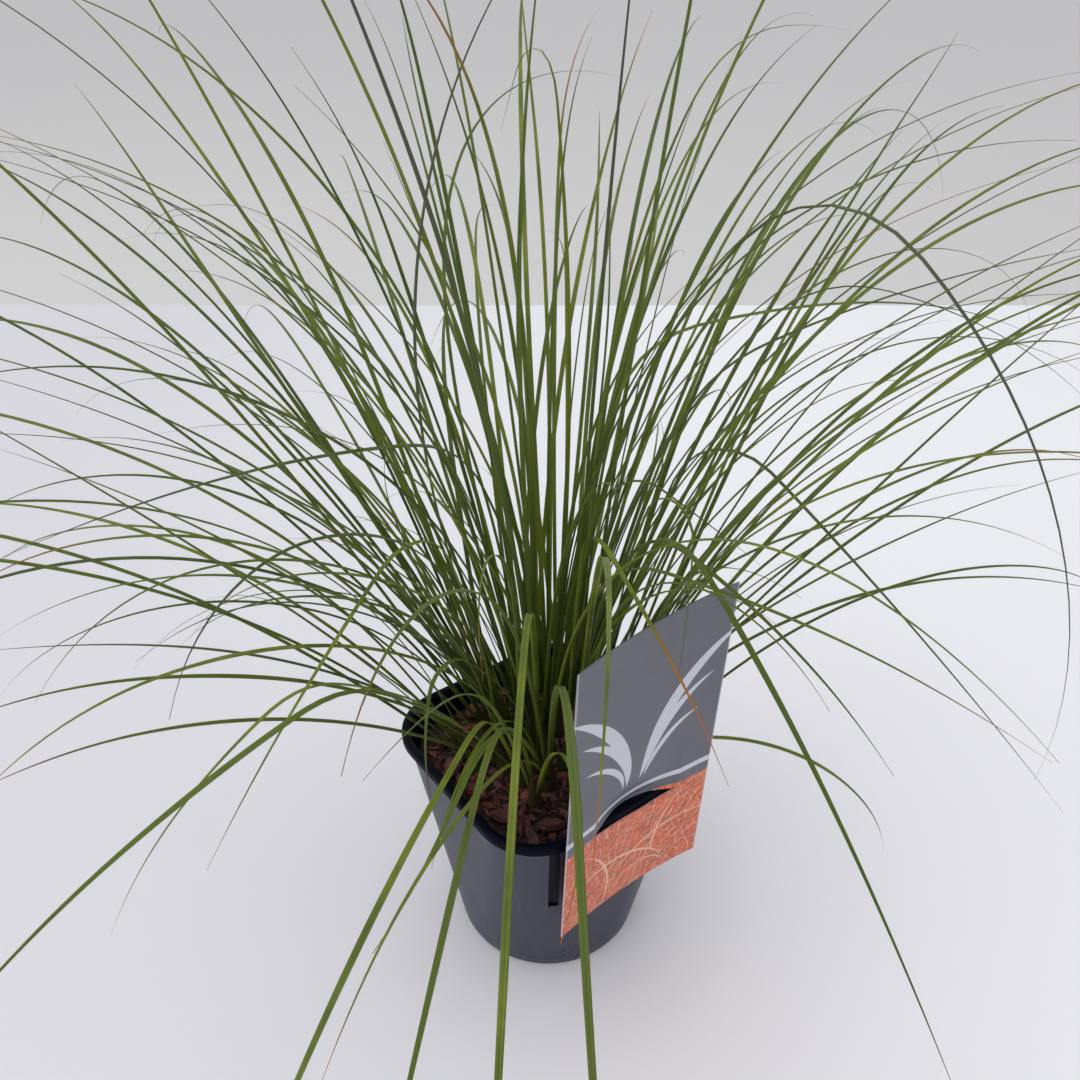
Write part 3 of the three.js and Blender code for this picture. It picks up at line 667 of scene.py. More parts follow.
def makeLitter(ground, materials):
    for kind in litterKinds:
        shapes = bpy.data.collections.new(kind["name"] + "Shapes")
        scene.collection.children.link(shapes)
        for i, (long, broad, thick) in enumerate(kind["shapes"]):
            shape = litterShape(f"{kind['name']}{i}", seeds["litter"] + i, long * mm, broad * mm, thick * mm)
            scene.collection.objects.unlink(shape)
            shapes.objects.link(shape)
        base = addObject(kind["name"] + "Base", ground.data.copy())
        base.data.transform(Matrix.Diagonal((litter["within"], litter["within"], 1, 1)))
        tree = scatterTree(kind["name"], materials[kind["material"]])
        useTree(base, tree, {
            "Shapes": shapes, "Spacing": kind["spacing"], "Density": litter["density"],
            "Smallest": kind["low"], "Largest": kind["high"], "Level": soil["top"] - litter["depth"],
            "Seed": kind["seed"],
        })
        piece = frozen(base, kind["name"])
        for shape in list(shapes.objects):
            bpy.data.objects.remove(shape)
        bpy.data.collections.remove(shapes)
        rides(piece, kind["material"])
        print(kind["name"], len(piece.data.polygons), "faces")


materials = {"peat": peatMaterial(), "bark": barkMaterial()}
ground = makeSubstrate(materials["peat"])
makeChips(materials["bark"])
makeLitter(ground, materials)
print("substrate and bark made")

# Tufts. The growing rule below is in millimetres and degrees.
tuft = {
    "pitch": 10.4, "foot": 3.9, "sheath": 20, "sheathLean": 0.16, "rootReach": 2.6, "thick": 0.7,
    "steps": 48, "rowStep": 8, "sheathSteps": 3, "clear": 0.15, "soil": 95, "bendSpan": 0.16,
    "steepest": 89, "rings": ((1, 6, 10, 1), (2, 12, 0, 2), (3, 6, 20, 2.9)),
}
card = {
    "width": 76, "above": 106, "below": 55, "thick": 0.6, "tilt": 3.5, "lean": 6, "bow": 3,
    "shift": 1.5, "out": 56, "level": 104,
}
slit = {"half": 25, "inside": 5, "tucked": 23, "above": 3.6, "below": 1.2, "fade": 34}
keptFrom = {"card": 4.5, "rimTop": 2, "rimSide": 3, "rimReach": 45, "bark": 7, "barkReach": 33, "ground": 4}
sideway = np.array([math.cos(pot["turn"]), math.sin(pot["turn"]), 0])
outway = np.array([math.sin(pot["turn"]), -math.cos(pot["turn"]), 0])


def held(value, low, high):
    return min(max(value, low), high)


def direction(heading):
    return np.array([math.cos(heading * degrees), math.sin(heading * degrees), 0.0])


def tuftPlaces():
    places = [{"x": 0, "y": 0, "heading": 0, "ring": 0}]
    for ring, count, start, reach in tuft["rings"]:
        for i in range(count):
            heading = start + i * 360 / count
            x, y, _ = reach * tuft["pitch"] * direction(heading)
            places.append({"x": x, "y": y, "heading": heading, "ring": ring})
    return places


# The long blades that give this plant its outline: heading, rise at the foot, length,
# fall in slope along it, how late the fall comes, sideways sweep and width; and where it has
# a sharp bend, how far it turns and where.
namedRows = [
    # left and high
    (-160, 89, 335, 76, 1.5, 0, 2.0),
    (-145, 89, 340, 72, 1.35, 0, 2.2),
    (152, 60, 450, 72, 1.5, -3, 2.2),
    (-175, 88, 338, 82, 1.6, 0, 1.8),
    (141, 48, 450, 69, 1.7, 4, 2.0),
    (160, 60, 400, 50, 1.4, -42, 2.0),
    (138, 46, 520, 88, 2.1, -8, 2.0),
    (-155, 74, 332, 57, 1.5, 0, 2.0),
    (-168, 88, 308, 102, 1.3, 0, 2.2),
    (-160, 70, 305, 52, 1.4, 0, 1.8),
    (-140, 89, 278, 50, 1.3, 0, 2.0),
    (147, 76, 300, 92, 1.6, 0, 1.8),
    # middle
    (-130, 89, 300, 48, 1.9, 0, 1.8),
    (117, 45, 470, 62, 1.8, -15, 2.0),
    (-115, 84, 380, 32, 1.25, 0, 2.2),
    (-118, 89, 315, 38, 2.3, 0, 1.8),
    (-114, 89, 345, 75, 3.6, 0, 2.0),
    (-150, 74, 345, -72, 2.45, 0, 1.8),
    (-40, 88, 340, 4, 2, 0, 2.0),
    (-110, 86, 330, -50, 3.5, 0, 2.0),
    (60, 89, 325, 15, 1, 70, 1.8, 135, 0.86),
    (147, 78, 425, 94, 1.4, -112, 1.6),
    (30, 89, 335, 60, 3, 0, 1.6, 40, 0.85),
    (10, 86, 285, 10, 1.2, 0, 1.6),
    (-44, 89, 455, 110, 1.75, 0, 2.2, 72, 0.6),
    # right and high
    (-20, 89, 340, 75, 1.8, 0, 2.2),
    (-22, 89, 335, 72, 1.75, 0, 2.0),
    (-20, 88, 330, 85, 2.1, 0, 2.0),
    (-20, 88, 320, 72, 1.5, 0, 2.0),
    (-22, 85, 330, 60, 1.35, 0, 2.2),
    (20, 76, 425, 108, 1.5, 0, 2.4),
    (57, 60, 540, 114, 1.8, -8, 2.0),
    (65, 62, 450, 85, 1.6, -14, 2.0),
    (47, 50, 425, 48, 1.6, 7, 2.2),
    (8, 80, 325, 150, 3, 0, 1.8),
    (-10, 89, 315, 50, 1.1, 0, 2.0, 28, 0.58),
    (20, 89, 385, 48, 1.9, 0, 2.0, 70, 0.46),
    (-2, 89, 340, 78, 1.35, 0, 2.0, 52, 0.66),
    (-20, 83, 305, 86, 1.8, 0, 2.0),
    (25, 62, 415, 115, 1.4, 0, 2.2),
    (-20, 61, 290, 4, 1, 0, 2.0),
    (-22, 71, 275, 40, 1.3, 0, 2.2),
    (-10, 60, 240, 34, 1, 0, 2.0),
    (-22, 70, 245, 94, 1.7, 0, 2.2),
    (-20, 61, 230, 68, 1.5, 0, 2.2),
    # front
    (-74, 89, 225, 15, 1, 0, 2.2, 100, 0.54),
    (-10, 89, 195, 8, 1, 0, 1.8, 115, 0.68),
    (-94, 78, 390, 50, 1, 2, 2.6, 70, 0.32),
    (-89, 66, 380, 100, 1.5, 0, 2.4),
    (-106, 62, 300, 30, 1.5, 0, 2.4, 50, 0.28),
    (-102, 60, 300, 30, 1, -3, 2.4, 70, 0.42),
    (-102, 58, 235, 72, 1.2, -6, 2.0),
    (-130, 78, 175, 60, 1, 0, 1.8, 115, 0.58),
    (-108, 66, 150, 105, 1.7, 0, 1.8),
    (-65, 78, 340, 40, 1, 0, 2.4, 90, 0.46),
    (-16, 45, 160, 120, 1.2, 0, 2.2),
    (-42, 86, 245, 55, 1.3, 0, 2.0, 75, 0.54),
    (-35, 83, 262, 30, 1.4, 0, 2.4, 70, 0.41),
    (-20, 80, 343, 12, 1, 0, 2.2, 110, 0.48),
    (-50, 78, 245, 10, 1, 0, 1.6, 160, 0.66),
    # left and low
    (-150, 70, 290, 44, 1.3, 0, 2.2),
    (-152, 76, 290, 70, 1.3, 0, 2.2),
    (-140, 89, 306, 49, 1, 0, 2.2, 46, 0.53),
    (-152, 56, 290, 9, 1.2, 0, 1.8),
    (-166, 67, 370, 139, 1.3, -1, 2.2),
    (-160, 68, 245, 96, 1.5, 0, 2.2),
    (-160, 56, 226, 52, 1, 0, 2.2),
    (-151, 59, 226, 57, 1, 0, 2.4),
    (-148, 71, 252, 102, 1.1, 0, 2.4),
    (-152, 47, 218, 54, 1.2, 0, 2.4),
    (-139, 63, 230, 70, 1.2, 0, 2.0, 48, 0.55),
    (-130, 64, 290, 50, 1, 0, 2.4, 42, 0.45),
    (-142, 76, 275, 8, 1, 0, 2.0, 118, 0.48),
    (-175, 78, 188, 125, 1.3, 0, 1.8),
    (-170, 84, 196, 140, 1.5, 0, 2.0),
]
# The other blades, ring by ring: how many, spread of headings, rise at the foot and slope at the tip
ringRules = [
    (8, 180, (80, 88), (14, 62)),
    (9, 56, (68, 85), (-8, 56)),
    (8, 34, (56, 77), (-48, 36)),
    (7, 36, (44, 64), (-62, 8)),
]
rowNames = ("heading", "rise", "length", "fall", "bend", "sweep", "width", "drop", "at")
straight = (0, 0.5)  # the last two of a blade without a sharp bend
thinSides = [(-90, 0.62), (8, 0.25)]  # heading of each thin side, and the share of blades missing
ruled = {
    "forNamed": 0.6,  # blades left out for each named one
    "aside": 5, "length": (260, 450), "shorterNear": (40, 150), "upNear": 8, "outerUpNear": 20,
    "leastFall": 12, "bend": (1.2, 2.5), "sweep": 24, "width": (1.5, 2.4),
}
# How often a blade is tried, how much further each try strays in degrees, and its rise's share
tries = {"named": (90, 0.1), "other": (30, 0.6), "riseShare": 0.6}
# How far from the middle a named blade stands and how high up the sheath it leaves, by its rise
rooting = {
    "nearest": 6, "further": 22, "steep": 88, "span": 50, "most": 1.1,
    "low": 0.1, "higher": 0.45, "flat": 45, "flatSpan": 45, "pull": 0.5,
}


# The tuft that a named blade belongs to: steep blades stand near the middle, low ones at the edge
def tuftFor(heading, rise, places):
    share = held((rooting["steep"] - rise) / rooting["span"], 0, rooting["most"])
    x, y, _ = (rooting["nearest"] + rooting["further"] * share) * direction(heading)
    away = [math.hypot(p["x"] - x, p["y"] - y) for p in places]
    return away.index(min(away))


def bladeIn(number, values):
    full = values if len(values) == len(rowNames) else (*values, *straight)
    return {"tuft": number, **dict(zip(rowNames, full))}


def ruledBlades(places, named):
    blades = []
    for number, place in enumerate(places):
        draw = diceFrom(seeds["ruled"] + number)
        most, spread, (low, high), tip = ringRules[place["ring"]]
        facings = [(math.cos((place["heading"] - side) * degrees), share) for side, share in thinSides]
        missing = max(share * max(0, facing) for facing, share in facings)
        fullness = 1 - missing if place["ring"] else 1
        own = sum(blade["tuft"] == number for blade in named)
        count = max(2, math.floor(most * fullness - ruled["forNamed"] * own + 0.5))
        for i in range(count):
            aside = (i * golden + 0.3) % 1
            heading = place["heading"] + spread * (2 * aside - 1) + draw(-ruled["aside"], ruled["aside"])
            near = max(0, -math.sin(heading * degrees))
            upright = low + ((i + draw(0.2, 0.8)) / count) * (high - low)
            lift = ruled["outerUpNear"] if place["ring"] > 1 else ruled["upNear"]
            rise = min(upright + lift * near, tuft["steepest"])
            length = draw(*ruled["length"]) - draw(*ruled["shorterNear"]) * near
            fall = max(rise - draw(*tip), ruled["leastFall"])
            bend, sweep = draw(*ruled["bend"]), draw(-ruled["sweep"], ruled["sweep"])
            values = (heading, rise, length, fall, bend, sweep, draw(*ruled["width"]))
            blades.append(bladeIn(number, values))
    return blades


# The middle line of a tuft's sheathed foot, which leans outwards
def sheathLine(place):
    foot = np.array([place["x"], place["y"], tuft["soil"]], float)
    top = foot + direction(place["heading"]) * tuft["sheath"] * place["ring"] * tuft["sheathLean"]
    top[2] += tuft["sheath"]
    return foot, top


# Steep blades leave the sheath higher up than low ones
def rootOf(blade, places):
    foot, top = sheathLine(places[blade["tuft"]])
    steep = held((blade["rise"] - rooting["flat"]) / rooting["flatSpan"], 0, 1)
    share = rooting["low"] + rooting["higher"] * steep
    out = direction(blade["heading"]) * tuft["rootReach"] * (1 - rooting["pull"] * share)
    return foot + (top - foot) * share + out


# The line that a blade follows, with its side and its upper face's direction at each step
def lineOf(blade, places):
    steps = tuft["steps"]
    t = (np.arange(steps) + 0.5) / steps
    bent = np.clip((t - blade["at"]) / tuft["bendSpan"] + 0.5, 0, 1)
    bent = bent * bent * (3 - 2 * bent)
    slope = (blade["rise"] - blade["fall"] * t ** blade["bend"] - blade["drop"] * bent) * degrees
    heading = (blade["heading"] + blade["sweep"] * t) * degrees
    along = np.stack([np.cos(slope) * np.cos(heading), np.cos(slope) * np.sin(heading), np.sin(slope)], 1)
    side = np.stack([-np.sin(heading), np.cos(heading), np.zeros(steps)], 1)
    up = -np.cross(side, along)
    points = np.cumsum(np.vstack([rootOf(blade, places), along * (blade["length"] / steps)]), axis=0)
    return points, np.vstack([side, side[-1:]]), np.vstack([up, up[-1:]])


# The straight stretches of a blade's solid, one row each: start, end, start outside the sheath,
# side, up, half width, half thickness
def stretchesOf(blade, line):
    points, sides, ups = line
    steps = tuft["steps"]
    row = tuft["rowStep"] // 2 if blade["drop"] else tuft["rowStep"]
    first = np.arange(0, steps, row)
    middle = first + row // 2
    share = middle / steps
    taper = np.minimum(0.8 + 2 * share, 1) * np.clip(2.6 * (1 - share) + 0.08, 0, 1)
    half = blade["width"] / 2 * taper
    outside = points[first].copy()
    outside[0] = points[tuft["sheathSteps"]]
    sizes = np.stack([half, np.full(len(first), tuft["thick"] / 2)], 1)
    return np.hstack([points[first], points[first + row], outside, sides[middle], ups[middle], sizes])


# Whether each pair of stretches, one from mine and one from others, stands clear
def standClear(mine, others, start):
    p, q = mine[:, None, :], others[None, :, :]
    a, b = p[..., start:start + 3], q[..., start:start + 3]
    d1, d2, r = p[..., 3:6] - a, q[..., 3:6] - b, a - b
    aa, ee, ff = (d1 * d1).sum(-1), (d2 * d2).sum(-1), (d2 * r).sum(-1)
    cc, bb = (d1 * r).sum(-1), (d1 * d2).sum(-1)
    under = aa * ee - bb * bb
    s = np.where(under > 1e-9, np.clip((bb * ff - cc * ee) / np.where(under > 1e-9, under, 1), 0, 1), 0)
    t = (bb * s + ff) / ee
    s = np.where(t < 0, np.clip(-cc / aa, 0, 1), np.where(t > 1, np.clip((bb - cc) / aa, 0, 1), s))
    t = np.clip(t, 0, 1)
    way = r + d1 * s[..., None] - d2 * t[..., None]
    distance = np.sqrt((way * way).sum(-1))
    room = p[..., 15] + q[..., 15] + tuft["clear"]
    unit = way / np.maximum(distance, 1e-9)[..., None]
    reach = 0
    for each in (p, q):
        aside, lift = abs((each[..., 9:12] * unit).sum(-1)), abs((each[..., 12:15] * unit).sum(-1))
        reach = reach + (each[..., 15] * aside + each[..., 16] * lift)
    return (distance > room) | ((distance >= 1e-6) & (distance > reach + tuft["clear"]))


def labelDepth(s, h):
    across = (s - card["shift"]) / (card["width"] / 2)
    return card["out"] + h * math.tan(card["lean"] * degrees) + card["bow"] * across * across


# Whether a blade keeps off the label, the rim, the bark and the ground
def keepsOff(points):
    p = points[1:]
    s, n, h = p @ sideway, p @ outway, p[:, 2] - card["level"]
    room = keptFrom["card"]
    onCard = abs(s - card["shift"]) < card["width"] / 2 + room
    onCard &= (h > -card["below"] - room) & (h < card["above"] + room)
    off = n - labelDepth(s, h)
    if (onCard & (abs(off) < room)).any() or (onCard[1:] & onCard[:-1] & (off[1:] * off[:-1] < 0)).any():
        return False
    out = np.maximum(abs(s), abs(n))
    away = p[:, 0] ** 2 + p[:, 1] ** 2
    height, halfSide = pot["height"] / mm, pot["side"] / mm / 2
    atRim = (p[:, 2] < height + keptFrom["rimTop"]) & (out < halfSide + keptFrom["rimSide"])
    atBark = (p[:, 2] < tuft["soil"] + keptFrom["bark"]) & (out < halfSide)
    atRim &= away > keptFrom["rimReach"] ** 2
    atBark &= away > keptFrom["barkReach"] ** 2
    return not (atRim | atBark | (p[:, 2] < keptFrom["ground"])).any()


# Grows every blade, each turned a little aside where it would cross another tuft or the label
def growBlades(places):
    named = [bladeIn(tuftFor(*row[:2], places), row) for row in namedRows]
    feet = []
    for place in places:
        foot, top = sheathLine(place)
        feet.append(np.hstack([foot, top, foot, [1, 0, 0], [0, 1, 0], [tuft["foot"], tuft["foot"]]]))
    standing = np.array(feet)
    owners = np.arange(len(places))
    grown = []
    for number, blade in enumerate(named + ruledBlades(places, named)):
        draw = diceFrom(seeds["grown"] + number)
        isNamed = number < len(named)
        count, step = tries["named" if isNamed else "other"]
        for attempt in range(count):
            stray = attempt * step
            turned = dict(blade)
            turned["heading"] = blade["heading"] + draw(-stray, stray)
            turned["rise"] = min(blade["rise"] + draw(-stray, stray) * tries["riseShare"], tuft["steepest"])
            turned["sweep"] = blade["sweep"] + draw(-stray, stray)
            line = lineOf(turned, places)
            if not keepsOff(line[0]):
                continue
            mine = stretchesOf(turned, line)
            same = owners == blade["tuft"]
            if not standClear(mine, standing[~same], 0).all():
                continue
            inTuft = same.copy()
            inTuft[:len(places)] = False
            rooted = 4 if blade["drop"] else 2
            asked = mine[rooted:] if isNamed else mine
            if inTuft.any() and not standClear(asked, standing[inTuft], 6).all():
                continue
            standing = np.vstack([standing, mine])
            owners = np.append(owners, [blade["tuft"]] * len(mine))
            grown.append({"blade": turned, "line": line, "number": number, "named": isNamed})
            break
    return grown


# The section of a blade: across it and up from its middle, in half widths
bladeSection = [
    (-1, 0.24), (-0.5, 0.03), (0, -0.1), (0.5, 0.03), (1, 0.24), (0.55, -0.2), (0, -0.36), (-0.55, -0.2),
]
leafLook = {
    "fineness": 0.94,  # share of the solid's width
    "twist": 26,  # degrees by the tip
    "wave": 0.6,  # millimetres
    "tipCurl": 12,  # millimetres that a fine tip may stray
    "tip": 0.09,  # share of the width left at the tip
    "dryTip": (0.02, 0.16), "dryFar": (0.16, 0.34),  # share of the blade that is dry, from the tip
    "dryTipShare": 0.75,  # of the blades; the others are dry farther down
    "paintedShadeRows": {1: 0.35, 14: 0.6, 17: 0.75, 18: 0.65, 24: 0.6},  # named rows, share of each from the tip painted grey-olive: painted shade of high blades seen from beneath against the light
    "paintedShadeRowsTone": 0.1,
    "namedCurl": 0.35,
}
wisps = {
    "count": 2, "width": (0.8, 1.2), "length": (110, 290), "spread": 1.2, "tip": 10, "bend": (1.1, 2.0),
    "sweep": 40, "curl": 1.5, "dry": (0.05, 0.3),
    "front": 0.3,  # none beyond this share of facing the camera
}
stalks = {
    "sides": 14, "steps": 7, "deep": 5, "layers": ((0.98, 1.0), (0.8, 1.25)),  # width and height of each
    "taper": ([0, 0.25, 0.55, 0.85, 1], [0.92, 0.98, 0.72, 0.36, 0.14]),
}


def sectionCurve():
    data = bpy.data.curves.new("BladeSection", "CURVE")
    data.dimensions = "3D"
    spline = data.splines.new("POLY")
    spline.points.add(len(bladeSection) - 1)
    for point, (across, up) in zip(spline.points, bladeSection):
        point.co = (up, across, 0, 1)
    spline.use_cyclic_u = True
    return addObject("BladeSection", data)


# Sweeps each line of a tuft into a blade, or into a round stalk where its sheath value is 1
def sweepTree():
    given = newTree("TuftSweep", {
        "Geometry": ["Geometry"], "Object": ["Section"], "Int": ["Stalk Sides"], "Float": ["Blades"],
        "Material": ["Material"],
    })

    def named(name, kind="FLOAT"):
        return put("GeometryNodeInputNamedAttribute", {"Name": name}, data_type=kind).outputs[0]

    sockets = {"Geometry": given["Geometry"], "Selection": calc("GREATER_THAN", named("sheath"), 0.5)}
    stems, leaves = put("GeometryNodeSeparateGeometry", sockets, domain="POINT").outputs
    shape = put("GeometryNodeObjectInfo", {"Object": given["Section"]}).outputs["Geometry"]
    sockets = {"Resolution": given["Stalk Sides"], "Radius": 1.0}
    circle = put("GeometryNodeCurvePrimitiveCircle", sockets, mode="RADIUS").outputs[0]
    swept = []
    for lines, section, mode in ((leaves, shape, "FREE"), (stems, circle, "MINIMUM_TWIST")):
        width = part(put("GeometryNodeInputPosition").outputs[0], "Y")
        sockets = {"Curve": put("GeometryNodeMeshToCurve", {"Mesh": lines}).outputs[0]}
        if mode == "FREE":
            sockets["Normal"] = named("lift", "FLOAT_VECTOR")
        swept.append(put("GeometryNodeCurveToMesh", {
            "Curve": put("GeometryNodeSetCurveNormal", sockets, mode=mode).outputs[0],
            "Profile Curve": stored(section, "across", width), "Scale": named("half"), "Fill Caps": True,
        }).outputs[0])
    together = put("GeometryNodeJoinGeometry", {0: swept}).outputs[0]
    column = calc("ADD", calc("MULTIPLY_ADD", named("across"), 0.46, 0.5), named("number"))
    row = calc("MULTIPLY_ADD", named("along"), 0.98, 0.01)
    spread = put("ShaderNodeCombineXYZ", {0: calc("DIVIDE", column, given["Blades"]), 1: row}).outputs[0]
    return endTree(stored(together, "OFBake", spread, "FLOAT2", "CORNER"), given["Material"])


# One piece of separate lines, each with its values at every point
def addLines(name, lines):
    points = np.vstack([line["points"] for line in lines]) * mm
    edges, start = [], 0
    for line in lines:
        count = len(line["points"])
        edges += [(start + i, start + i + 1) for i in range(count - 1)]
        start += count
    piece = addMesh(name, points, [], edges=edges)
    for key in ("half", "along", "number", "sheath", "tone", "dry"):
        values = np.concatenate([np.broadcast_to(line[key], len(line["points"])) for line in lines])
        markPoints(piece, key, values * (mm if key == "half" else 1))
    lifts = np.vstack([line["lift"] for line in lines]).astype(np.float32)
    piece.data.attributes.new("lift", "FLOAT_VECTOR", "POINT").data.foreach_set("vector", lifts.ravel())
    return piece


shell = [np.array(corner) / mm for corner in boxAtLoad]


# A blade's line with the small waves, twist and fine tip of a real one, inside the CAD's box
def bladeLine(points, sides, ups, width, draw, number, curl, dry, tone):
    t = np.linspace(0, 1, len(points))
    turn = draw(-1, 1) * leafLook["twist"] * degrees * t**1.4
    first, second = draw(0, 6.28), draw(0, 6.28)
    sway = leafLook["wave"] * t * (np.sin(5 * t + first) + 0.5 * np.sin(11 * t + second))
    hook = curl * np.clip((t - 0.72) / 0.28, 0, 1) ** 2.2
    bent = points + sides * (sway + hook)[:, None] + ups * (-0.6 * abs(hook))[:, None]
    taper = np.minimum(0.8 + 2 * t, 1) * np.maximum(np.clip(2.6 * (1 - t), 0.0, 1) ** 0.9, leafLook["tip"])
    return {
        "points": np.clip(bent, shell[0] + 1, shell[1] - 1),
        "lift": ups * np.cos(turn)[:, None] + sides * np.sin(turn)[:, None],
        "half": width / 2 * leafLook["fineness"] * taper,
        "along": t, "number": number, "sheath": 0.0, "tone": tone, "dry": dry,
    }


# A blade as grown, in its looks
def grownLine(each, number):
    draw = diceFrom(seeds["blades"] + each["number"])
    curl = draw(-1, 1) * leafLook["tipCurl"] * (leafLook["namedCurl"] if each["named"] else 1)
    dry = draw(*leafLook["dryTip" if draw(0, 1) < leafLook["dryTipShare"] else "dryFar"])
    line = bladeLine(*each["line"], each["blade"]["width"], draw, number, curl, dry, draw(0, 1))
    # painted shade: these rows take the grey-olive dry tone over a long share of their length
    if each["number"] in leafLook["paintedShadeRows"]:
        line["dry"], line["tone"] = leafLook["paintedShadeRows"][each["number"]], leafLook["paintedShadeRowsTone"]
    return line


# A thin young or withered blade from the same foot as the others
def wisp(place, places, index, draw):
    _, spread, (low, high), tip = ringRules[place["ring"]]
    rise = draw(low, high)
    heading, length = place["heading"] + draw(-1, 1) * spread * wisps["spread"], draw(*wisps["length"])
    fall = max(rise - draw(tip[0] - wisps["tip"], tip[1] + wisps["tip"]), ruled["leastFall"])
    bend, sweep = draw(*wisps["bend"]), draw(-wisps["sweep"], wisps["sweep"])
    blade = bladeIn(index, (heading, rise, length, fall, bend, sweep, draw(*wisps["width"])))
    return blade, lineOf(blade, places)


# The sheaths that wrap a tuft's foot
def stalkLines(place, number, draw):
    foot, top = sheathLine(place)
    steps = stalks["steps"]
    t = np.linspace(0, 1, steps)
    lines = []
    for scale, height in stalks["layers"]:
        low = foot - np.array([0, 0, stalks["deep"]])
        high = foot + (top - foot) * height
        lines.append({
            "points": low + (high - low) * t[:, None], "lift": np.tile([1.0, 0, 0], (steps, 1)),
            "half": tuft["foot"] * scale * np.interp(t, *stalks["taper"]), "along": t * 0.2,
            "number": number, "sheath": 1.0, "tone": draw(0, 1), "dry": 0.0,
        })
    return lines


def leafMaterial():
    material = newMaterial("SedgeLeaf")
    along, across, tone = attribute("along"), attribute("across"), attribute("tone")
    dry, sheath = attribute("dry"), attribute("sheath")
    aside = calc("ABSOLUTE", across)
    mottle = noisy(stretched(objectPlace(), (1, 1, 0.4)), 60.0)
    green = laid(mixed(tone, (54, 78, 22), (120, 131, 36)), eased(mottle, 0.35, 0.75), (82, 97, 26))
    # darker towards each blade's foot: the deeper green of its base, and painted shade in the crowded middle
    # of the tuft
    green = laid(green, rest(eased(along, 0.0, 0.22)), (20, 42, 14), 0.75)
    green = laid(green, eased(aside, 0.62, 0.95), (150, 156, 54), 0.22)  # painted highlight along both margins
    green = laid(green, rest(eased(aside, 0.0, 0.3)), (38, 58, 14), 0.35)  # painted shade in the middle groove
    past = calc("DIVIDE", calc("SUBTRACT", along, rest(dry)), calc("ADD", dry, 0.02), clamp=True)
    # the dried tips' colour; on the painted shade rows the grey-olive is painted shade
    ripeOrShaded = mixed(eased(tone, 0.25, 0.8), (78, 80, 64), (178, 104, 48))
    blade = mixed(eased(past, 0.05, 0.75), green, ripeOrShaded)
    # sheaths: their own green and brown, darkened as painted shade at the tuft's deep foot
    full = mixed(sheath, blade, mixed(tone, (46, 60, 26), (66, 52, 34)))
    return dressed(material, full, 0.36, (calc("SINE", times(across, 19.0)), 0.04 * mm, 0.5), 0.28)


def makeTufts(material):
    places = tuftPlaces()
    grown = growBlades(places)
    print(len(grown), "blades grown")
    tree, section = sweepTree(), sectionCurve()
    faces = 0
    for index, place in enumerate(places):
        lines = []
        for each in grown:
            if each["blade"]["tuft"] == index:
                lines.append(grownLine(each, len(lines)))
        draw = diceFrom(seeds["wisps"] + index)
        for _ in range(wisps["count"]):
            blade, line = wisp(place, places, index, draw)
            front = -math.sin(blade["heading"] * degrees)
            curl = draw(-1, 1) * leafLook["tipCurl"] * wisps["curl"]
            dry, tone = draw(*wisps["dry"]), draw(0, 1)
            if keepsOff(line[0]) and front < wisps["front"]:
                lines.append(bladeLine(*line, blade["width"], draw, len(lines), curl, dry, tone))
        lines += stalkLines(place, len(lines), draw)
        name = f"Tuft{index + 1:02d}"
        base = addLines(name + "Lines", lines)
        useTree(base, tree, {
            "Section": section, "Stalk Sides": stalks["sides"], "Blades": float(len(lines)),
            "Material": material,
        })
        piece = frozen(base, name)
        smoothen(piece)
        rides(piece, "leaf", f"tuft_{index + 1:02d}")
        faces += len(piece.data.polygons)
    bpy.data.objects.remove(section)
    print("tufts made,", faces, "faces")


makeTufts(leafMaterial())


# Plant label; its pattern is made in millimetres on the card
# strokes: centre of the circle, radius, start and end in degrees, half width in the middle
# arcs: as the strokes, on the orange field
# streaks: turn, scale, tone, strength
# hairs: centre, count per half turn times pi, bow, thinness, tone, strength
labelFinish = {
    "columns": 56, "rows": 90, "sharpFrom": 40,
    "stripe": (8.0, 11.2), "emberTop": 2.0, "pale": (203, 207, 214),
    "strokes": [
        ((78, 17), 76, 180, 116, 3.2), ((52, 19), 49, 178, 112, 2.2), ((34, 17), 30, 178, 100, 1.6),
        ((-82, 17), 77, 0, 58, 3.0), ((-56, 19), 50, 2, 64, 2.0), ((-38, 16), 31, 2, 78, 1.5),
    ],
    "arcs": [
        ((-14, -64), 38, 24, 128, 0.9), ((26, -72), 50, 62, 142, 0.8), ((58, -36), 46, 128, 206, 0.7),
        ((-52, -40), 40, -30, 58, 0.8), ((4, -58), 18, 10, 150, 0.6),
    ],
    "streaks": [
        (-55, 0.42, (108, 84, 52), 0.8), (40, 0.5, (222, 60, 48), 0.7), (-20, 0.6, (226, 126, 66), 0.6),
    ],
    "hairs": [
        ((-52, -84), 62, 9, 0.03, (232, 146, 110), 0.8), ((44, -92), 70, 10, 0.03, (228, 104, 66), 0.9),
        ((-8, -76), 44, 9, 0.024, (240, 190, 160), 0.8), ((74, -34), 66, 8, 0.03, (116, 62, 42), 0.7),
        ((-70, -20), 58, 10, 0.024, (236, 160, 126), 0.8), ((16, 30), 52, 8, 0.02, (242, 204, 178), 0.7),
        ((86, -70), 90, 12, 0.03, (236, 140, 90), 0.8), ((-90, -60), 84, 12, 0.03, (104, 74, 48), 0.6),
    ],
}


# A spot s along the rim, n out from the pot's middle and h above the slit
def cardPlace(s, n, h):
    return sideway * s + outway * n + np.array([0, 0, card["level"] + h])


# The card's middle surface at u across and v up it, pushed out by skin; millimetres
def labelPoint(u, v, skin):
    tilt = card["tilt"] * degrees
    s = card["shift"] + u * math.cos(tilt) - v * math.sin(tilt)
    h = v * math.cos(tilt) + u * math.sin(tilt)
    near = max(0, 1 - (u / slit["tucked"]) ** 2)
    above = held((h + 1) / (slit["above"] + 1), 0, 1)
    fade = held(1 - (h - slit["above"]) / slit["fade"], 0, 1)
    return cardPlace(s, labelDepth(s, h) - slit["inside"] * near * above * fade * fade + skin, h)


